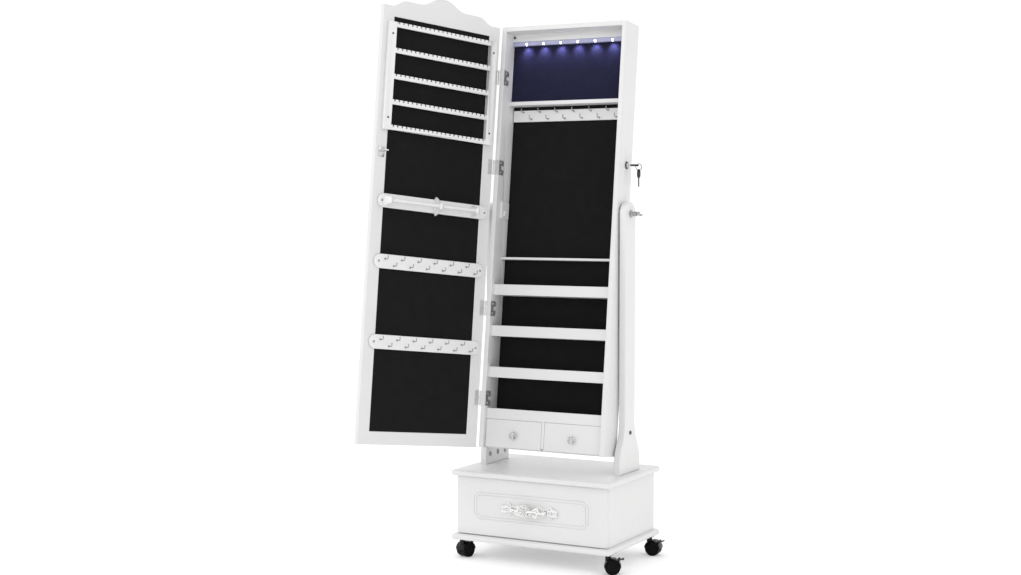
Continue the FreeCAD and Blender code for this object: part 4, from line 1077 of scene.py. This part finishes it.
def pivots():
    """Inner plates with their screws, hexagon bolts, and washers between case and upright."""
    inner, outer = CASE_INNER, CASE_OUTER
    plate_thick = 5.0
    plate_middle = (40, 8)
    screw_apart = (14, 16)
    form = Form()
    for turn in (IDENTITY, MIRROR_X):
        form.finish = 0
        plate = rounded_rectangle(20, 22, 4)
        form.prism(plate, plate_thick, turn @ plane_yz(inner - plate_thick) @ shift(*plate_middle), 1.2, 3)
        form.lathe([(4.2, 0), (13.0, 0), (14.0, 0.8), (14.0, 2.8), (13.0, 3.6), (4.2, 3.6)],
                   turn @ axis_frame((outer, PIVOT_DEPTH, 0), (1, 0, 0)), 36)
        form.finish = 1
        form.prism(circle(7.0, count=6), 4.0, turn @ plane_yz(inner - 9) @ shift(PIVOT_DEPTH), 0.7, 2)
        shank = turn @ axis_frame((inner - 6, PIVOT_DEPTH, 0), (1, 0, 0))
        form.lathe([(4.0, 0), (4.0, 52), (3.2, 52.8)], shank, 24)
        for up in (1, -1):
            for back in (-1, 1):
                y, z = (m + sign * a for m, sign, a in zip(plate_middle, (back, up), screw_apart))
                form.screw(turn @ axis_frame((inner - plate_thick - 0.2, y, z), (-1, 0, 0)), 2.4)
    piece("pivot_plates_and_bolts", form, CABINET, "pivot_fittings", [PLATE_WHITE, GUNMETAL], crease=35)


WING_HALF = 12.0
WING_TURN = math.radians(75)   # from upright


def tilt_knobs():
    """Clamp knobs: a flange, a waisted neck, a fluted hub and a wing."""
    low, high = local_box("tilt_knob_right", CABINET)
    start = low.x
    for side, turn in (("right", IDENTITY), ("left", MIRROR_X)):
        form = Form()
        at = turn @ axis_frame((start, PIVOT_DEPTH, 0), (1, 0, 0))
        form.lathe([(4.2, 0), (9.0, 0), (9.5, 0.5), (9.5, 1.8), (8.6, 2.5), (6.0, 3.0), (5.2, 4), (5.2, 8),
                    (6.2, 9), (6.2, 14), (5.4, 15.5), (2.0, 15.6)], at, 40)
        for p in circle(6.0, count=14):
            form.tube([at @ Vector((p.x, p.y, 9.6)), at @ Vector((p.x, p.y, 13.6))], 0.5, 8)
        reach = high.x - start
        lobe = [Vector((WING_HALF - 4.5 + p.x, reach - 5.0 + p.y)) for p in arc((0, 0), 4.5, -60, 110, 8)]
        right = [(3.0, 8.0), (6.0, 12.0)] + lobe + [(4.5, reach - 6.5), (1.5, reach - 8.0)]
        wing = both_sides(right)
        level = shift(0, PIVOT_DEPTH, 0) @ Matrix.Rotation(WING_TURN, 4, "X")
        across = Matrix(((0, 1, 0, start), (0, 0, 1, -2.0), (1, 0, 0, 0), (0, 0, 0, 1)))
        form.prism(wing, 4.0, turn @ level @ across, 1.4, 3)
        node = "tilt_knob_" + side
        piece(node + "_winged", form, CABINET, node, [WING_STEEL], crease=40)


# ---------------------------------------------------------------- lock and keys
KEY_TIP = 5.5                  # the head's end, beyond the middle of its ring hole
KEY_LONG = 23.0
KEY_WIDE = 16.0
KEY_THICK = 3.4
RING_R = 8.0
RING_X = 211.5
RING_RISE = 3.4                # the ring's top above the lock's axis


def key_bow(form, holes, at):
    """A key's padded head lying level, with its ring hole at the frame's origin and its blade along -X."""
    outline = stadium(KEY_LONG / 2, KEY_WIDE / 2, (KEY_TIP - KEY_LONG / 2, 0), 12)
    form.prism(outline, KEY_THICK, at @ shift(z=-KEY_THICK / 2), 1.1, 3)
    holes.lathe([(3.5, -4), (3.5, 4)], at, 24)


def key_blade(form, at, start, length):
    """A flat toothed blade lying level, from start along -X."""
    thick = 1.6
    end = start - length
    edge = [(end, -0.8), (end, 1.2), (end + 1.5, 3.0)]
    for index in range(int((length - 4) // 3)):
        x = end + 2.4 + 3 * index
        depth = (1.2, 1.9, 0.8, 1.6)[index % 4]
        edge += [(x, 3.0 - depth), (x + 1.0, 3.0 - depth), (x + 1.8, 3.0)]
    edge += [(start, 3.0), (start, -3.0), (end + 1.6, -3.0)]
    form.prism([Vector(p) for p in edge], thick, at @ shift(z=-thick / 2), 0.15, 1)


def lock():
    """The rosette and nut, the cylinder with its cam and key, and the spare key on its ring."""
    centre = CABINET.inverted() @ joint_place("lock_turn")
    inner, outer = CASE_INNER, CASE_OUTER
    axis = axis_frame((0, centre.y, centre.z), (1, 0, 0))
    housing = Form()
    housing.lathe([(6.1, outer - 1), (9.4, outer - 1), (10.0, outer + 0.6), (9.6, outer + 1.6),
                   (8.4, outer + 2.0), (8.0, outer + 2.9), (6.1, outer + 3.0)], axis, 40)
    housing.lathe([(6.1, inner - 3.4), (9.0, inner - 3.4), (9.0, outer)], axis, 36)
    housing.prism(circle(11.0, (centre.y, centre.z), 6), 3.4, plane_yz(inner - 3.5), 0.5, 2)
    bore = Form()
    bore.lathe([(6.05, inner - 10), (6.05, outer + 10)], axis, 36)
    piece("lock_rosette", housing, CABINET, "lock_housing", [GUNMETAL], holes=bore, crease=35)

    low, high = local_box("lock_key", CABINET)
    cylinder = Form()
    cylinder.lathe([(5.0, low.x + 0.2), (5.9, low.x + 1), (5.9, outer + 2.8), (5.2, outer + 3.5),
                    (2.0, outer + 3.5)], axis, 32)
    cam = [Vector((centre.y + y, centre.z + z)) for y, z in
           ((-4, 0), (-2.8, -2.8), (0, -4), (2.8, -2.8), (4, 0), (4, 34), (-8, 34), (-8, 30), (-4, 30))]
    cylinder.prism(cam, 2.5, plane_yz(low.x), 0.4, 2)
    head = shift(high.x - KEY_TIP, centre.y, centre.z)
    key_blade(cylinder, head, KEY_TIP - KEY_LONG + 2, 8.5)
    piece("lock_cylinder_and_cam", cylinder, CABINET, "lock_key", [NICKEL], crease=35)
    bow = Form()
    pierced = Form()
    key_bow(bow, pierced, head)
    piece("key_head", bow, CABINET, "lock_key", [KEY_BLACK], holes=pierced)

    hung = CABINET @ shift(0, centre.y, centre.z) @ Matrix.Rotation(LEAN, 4, "X")
    ring_z = RING_RISE - RING_R
    ring = Form()
    ring.ring(RING_R, 0.8, shift(RING_X, 0, ring_z) @ axis_frame((0, 0, 0), (0, 1, 0)))
    hanging = shift(RING_X, 0, ring_z - RING_R - 2.4) @ Matrix.Rotation(-math.pi / 2, 4, "Y")
    ring.finish = 1
    key_blade(ring, hanging, KEY_TIP - KEY_LONG + 1, 22.5)
    piece("key_ring_and_spare_blade", ring, hung, "spare_key", [DARK_METAL, NICKEL], crease=35)
    spare = Form()
    spare_hole = Form()
    key_bow(spare, spare_hole, hanging)
    piece("spare_key_head", spare, hung, "spare_key", [KEY_BLACK], holes=spare_hole)


# ---------------------------------------------------------------- hinges
def hinge_heights():
    leaves = solids("hinge_door_leaves", DOOR)
    return [((low.z + high.z) / 2, high.z - low.z) for low, high in leaves]


def knuckles(form, middle, length, indexes):
    """Some of the hinge's five knuckles, with chamfered ends."""
    pitch = length / 5
    for index in indexes:
        low = middle - length / 2 + index * pitch + 0.15
        high = low + pitch - 0.3
        at = shift(HINGE.x, HINGE.y)
        form.lathe([(1.9, low), (2.4, low + 0.4), (2.4, high - 0.4), (1.9, high)], at, 24)


def hinges():
    """Four butt hinges: slotted leaves round the case's edge, five knuckles, and leaves on the door."""
    edge, inner = (corner.x for corner in local_box("cabinet_side_left", CABINET))
    leaf_thick = 1.2
    fixed = Form()
    swung = Form()
    slots = Form()
    for middle, length in hinge_heights():
        half = length / 2
        knuckles(fixed, middle, length, (0, 2, 4))
        knuckles(swung, middle, length, (1, 3))
        fixed.lathe([(1.1, middle - half - 0.8), (1.1, middle + half + 0.8)], shift(HINGE.x, HINGE.y), 16)
        for sign in (-1, 1):
            fixed.ball((HINGE.x, HINGE.y, middle + sign * (half + 0.5)), (1.7, 1.7, 0.9), segments=12)
        wrap = rounded_rectangle((-edge + inner) / 2 - 0.4, half, 0.4, 1)
        across = shift((inner + edge) / 2 + 1.2, 0, middle) @ plane_xz(-leaf_thick)
        fixed.prism(wrap, leaf_thick, across, 0.3, 1)
        notch = 5.0
        wall = [(-1.2, -half), (22, -half), (25, -half + 3), (25, -notch), (15, -notch), (13, -notch + 2),
                (13, notch - 2), (15, notch), (25, notch), (25, half - 3), (22, half), (-1.2, half)]
        fixed.prism([Vector(p) for p in wall], leaf_thick, shift(z=middle) @ plane_yz(inner), 0.3, 1)
        for sign in (-1, 1):
            slot = shift(z=middle + sign * 12) @ plane_yz(inner - 1) @ shift(8.5)
            slots.prism(stadium(4.0, 1.7), 4, slot, 0)
            fixed.screw(axis_frame((inner + leaf_thick + 0.3, 18.5, middle + sign * 12), (1, 0, 0)), 2.6)
        face = DOOR_INNER + leaf_thick
        width = -edge - 1.5 - 164
        leaf_plan = rounded_rectangle(width / 2, half, 1.0, 2)
        swung.prism(leaf_plan, leaf_thick, shift(-164 - width / 2, 0, middle) @ plane_xz(DOOR_INNER), 0.3, 1)
        for sign in (-1, 0, 1):
            swung.screw(axis_frame((-169.5, face + 0.25, middle + sign * 12), (0, 1, 0)), 2.2)
    piece("hinge_leaves_on_case", fixed, CABINET, "hinge_cabinet_leaves", [HINGE_STEEL],
          holes=slots, crease=35)
    piece("hinge_leaves_on_door", swung, DOOR, "hinge_door_leaves", [HINGE_STEEL], crease=35)


# ---------------------------------------------------------------- door
door_low, door_high = local_box("door_frame", DOOR)
DOOR_OUTER = door_low.y
DOOR_INNER = door_high.y
OPENING = local_box("door_velvet", DOOR)
SHELF_DROP = 24.0              # the crest's flat shelves, below its peak
SHOULDER_DROP = 42.0           # the door's top corners, below its peak
CREST_X = (23.0, 70.0, 105.0)  # where the crest's curves start and end, from the door's edge


def door_outline():
    half = door_high.x
    peak = door_high.z
    shoulder = peak - SHOULDER_DROP
    shelf = peak - SHELF_DROP
    start, rise_end, flat_end = (half - x for x in CREST_X)
    right = [(half, door_low.z), (half, shoulder), (start, shoulder)]
    right += s_curve((start, shoulder), (rise_end, shelf), 0)
    right += [(rise_end, shelf), (flat_end, shelf)]
    right += s_curve((flat_end, shelf), (0, peak), 0)
    return both_sides(right, [(0, peak)])


def opening_block(front, back):
    low, high = OPENING
    form = Form()
    form.box((low.x, front, low.z), (high.x, back, high.z))
    return form


def door_leaf():
    """The crested frame, its core and velvet boards, and the bevelled mirror outside."""
    form = Form()
    form.prism(door_outline(), DOOR_INNER - DOOR_OUTER, plane_xz(DOOR_OUTER))
    cut = opening_block(DOOR_OUTER - 5, DOOR_INNER + 5)
    piece("door_crested_frame", form, DOOR, "door_frame", [WHITE], holes=cut, edge=1.3, steps=3)
    boards("door_core", DOOR, PALE, 0.4)
    boards("door_velvet", DOOR, VELVET, 0.5)
    low, high = local_box("door_mirror", DOOR)
    glass = Form()
    half_x = (high.x - low.x) / 2 - 0.2
    half_z = (high.z - low.z) / 2 - 0.2
    bevel_width = 12.0
    thick = high.y - low.y
    plan = rounded_rectangle(half_x, half_z, 0.6, 1)
    field = rounded_rectangle(half_x - bevel_width, half_z - bevel_width, 0.6, 1)
    at = plane_xz(low.y) @ shift(0, (low.z + high.z) / 2)
    rings = ((plan, thick), (plan, 1.4), (field, 0.0))
    glass.skin([[at @ Vector((p.x, p.y, depth)) for p in outline] for outline, depth in rings])
    piece("door_mirror_bevelled", glass, DOOR, "door_mirror", [MIRROR], crease=1)


BAR_Z = -6.0
BAR_BACKING = (-5.0, 5.0)
ROD_Y = 26.0
ROD_R = 5.0
ROD_X = (-119.0, 149.0)
BRACKETS = ((-115.0, 14.0), (-4.0, 24.0), (145.0, 14.0))


def bracket(form, x, half_base):
    """A bracket that narrows smoothly from the backing to a round boss that holds the rod."""
    start = BAR_BACKING[1] - 0.5
    boss_half = 10.5
    steps = 14
    rings = []
    for step in range(steps + 1):
        share = step / steps
        ease = (1 + math.cos(math.pi * min(share / 0.75, 1))) / 2
        half_height = boss_half + (half_base - boss_half) * ease
        y = start + (ROD_Y + boss_half - start) * share
        closing = math.sqrt(1 - max(share - 0.72, 0) ** 2 / 0.0802)
        width = (6.6 + 0.9 * ease) * closing
        rings.append([Vector((x + width * p.x, y, BAR_Z + half_height * closing * p.y))
                      for p in circle(1.0, count=28)])
    form.skin(rings)


def bracelet_bar():
    """A stadium backing, three rounded brackets, and the turned rod that they hold."""
    high = local_box("bracelet_bar", DOOR)[1]
    half_height = 17.5
    form = Form()
    form.prism(stadium(high.x, half_height, (0, BAR_Z), 16), BAR_BACKING[1] - BAR_BACKING[0],
               plane_xz(BAR_BACKING[0]), 2.2, 4)
    rod = axis_frame((0, ROD_Y, BAR_Z), (1, 0, 0))
    start, end = ROD_X
    form.lathe([(ROD_R - 0.6, start), (ROD_R, start + 0.6), (ROD_R, end - 0.6), (ROD_R - 0.6, end)], rod, 28)
    for x, half_base in BRACKETS:
        bracket(form, x, half_base)
        for side in (-1, 1):
            collar = x + side * 8.0
            if start < collar < end:
                profile = [(ROD_R, -1.8), (6.3, -1.0), (6.3, 1.0), (ROD_R, 1.8)]
                form.lathe([(radius, collar + along) for radius, along in profile], rod, 28)
    piece("bracelet_bar_turned", form, DOOR, "bracelet_bar", [PLATE_WHITE], crease=42)


def door_fittings():
    shaped("earring_rack", DOOR, PLATE_WHITE, 0.35)
    bracelet_bar()
    plates = Form()
    for low, high in solids("hook_plates", DOOR):
        outline = stadium(high.x, (high.z - low.z) / 2, (0, (low.z + high.z) / 2), 16)
        plates.prism(outline, high.y - low.y, plane_xz(low.y), 1.8, 4)
    piece("hook_plates_rounded", plates, DOOR, "hook_plates", [PLATE_WHITE])
    hooks = Form()
    for low, high in solids("door_hooks", DOOR):
        hooks.hook(Matrix.Translation(((low.x + high.x) / 2, low.y, low.z + 1.1)))
    piece("door_hooks_balled", hooks, DOOR, "door_hooks", [HOOK_STEEL], crease=50)
    screws = Form()
    for low, high in solids("fitting_screws", DOOR):
        middle = (low + high) / 2
        screws.screw(axis_frame((middle.x, high.y, middle.z), (0, 1, 0)), 2.9)
    piece("fitting_screw_heads", screws, DOOR, "fitting_screws", [GUNMETAL])
    low, high = local_box("lock_strike", DOOR)
    shaped("lock_strike", DOOR, NICKEL, 0.25)
    heads = Form()
    for z in (low.z + 3, high.z - 3):
        heads.screw(axis_frame(((low.x + high.x) / 2, DOOR_INNER + 1.8, z), (0, 1, 0)), 2.0)
    piece("strike_screws", heads, DOOR, "lock_strike", [NICKEL])


# ---------------------------------------------------------------- build it
base()
drawer_pull()
for corner_name in CASTERS:
    caster(corner_name)
cabinet_case()
lamps()
sensor()
cabinet_hooks()
small_drawers()
pivots()
tilt_knobs()
lock()
hinges()
door_leaf()
door_fittings()


# ---------------------------------------------------------------- floor, light and camera
SOFT_LIGHTS = (("key", (-2.2, -2.6, 2.6), 1.6, 22.0), ("fill", (3.2, -1.2, 1.8), 2.0, 8.0))
CAMERA_PLACE = (1.8576, -3.6803, 0.9044)
CAMERA_LENS = 56.63            # millimetres, on a sensor 36 wide
CAMERA_DOWN = 2.9              # degrees below level
CAMERA_TURN = 28.43            # degrees that the view comes round to the right of the front


def studio():
    """A pale floor, a white surround, two soft lights and the camera."""
    floor_mesh = bmesh.new()
    bmesh.ops.create_grid(floor_mesh, x_segments=2, y_segments=2, size=60)
    data = bpy.data.meshes.new("studio_floor")
    floor_mesh.to_mesh(data)
    floor_mesh.free()
    floor = bpy.data.objects.new("studio_floor", data)
    bpy.context.scene.collection.objects.link(floor)
    pale = Finish("studio_pale", grey(0.92), 0.9, Emission_Color=(1, 1, 1, 1), Emission_Strength=0.15)
    pale.tint(pale.noise(400), grey(0.915), grey(0.925))
    data.materials.append(pale.material)

    world = bpy.data.worlds.new("studio")
    world.use_nodes = True
    backdrop = world.node_tree.nodes["Background"]
    backdrop.inputs["Color"].default_value = (1, 1, 1, 1)
    backdrop.inputs["Strength"].default_value = 1.08
    bpy.context.scene.world = world

    middle = (cad_box[0] + cad_box[1]) / 2
    for name, place, size, energy in SOFT_LIGHTS:
        light_data = bpy.data.lights.new(name, "AREA")
        light_data.size = size
        light_data.energy = energy
        light = bpy.data.objects.new(name, light_data)
        light.location = place
        light.rotation_euler = (middle - Vector(place)).to_track_quat("-Z", "Y").to_euler()
        bpy.context.scene.collection.objects.link(light)

    camera_data = bpy.data.cameras.new("camera")
    camera_data.sensor_width = 36.0
    camera_data.lens = CAMERA_LENS
    camera = bpy.data.objects.new("camera", camera_data)
    camera.location = CAMERA_PLACE
    camera.rotation_euler = (math.radians(90 - CAMERA_DOWN), 0, math.radians(CAMERA_TURN))
    bpy.context.scene.collection.objects.link(camera)
    bpy.context.scene.camera = camera
    bpy.context.scene.view_settings.view_transform = "Standard"


studio()
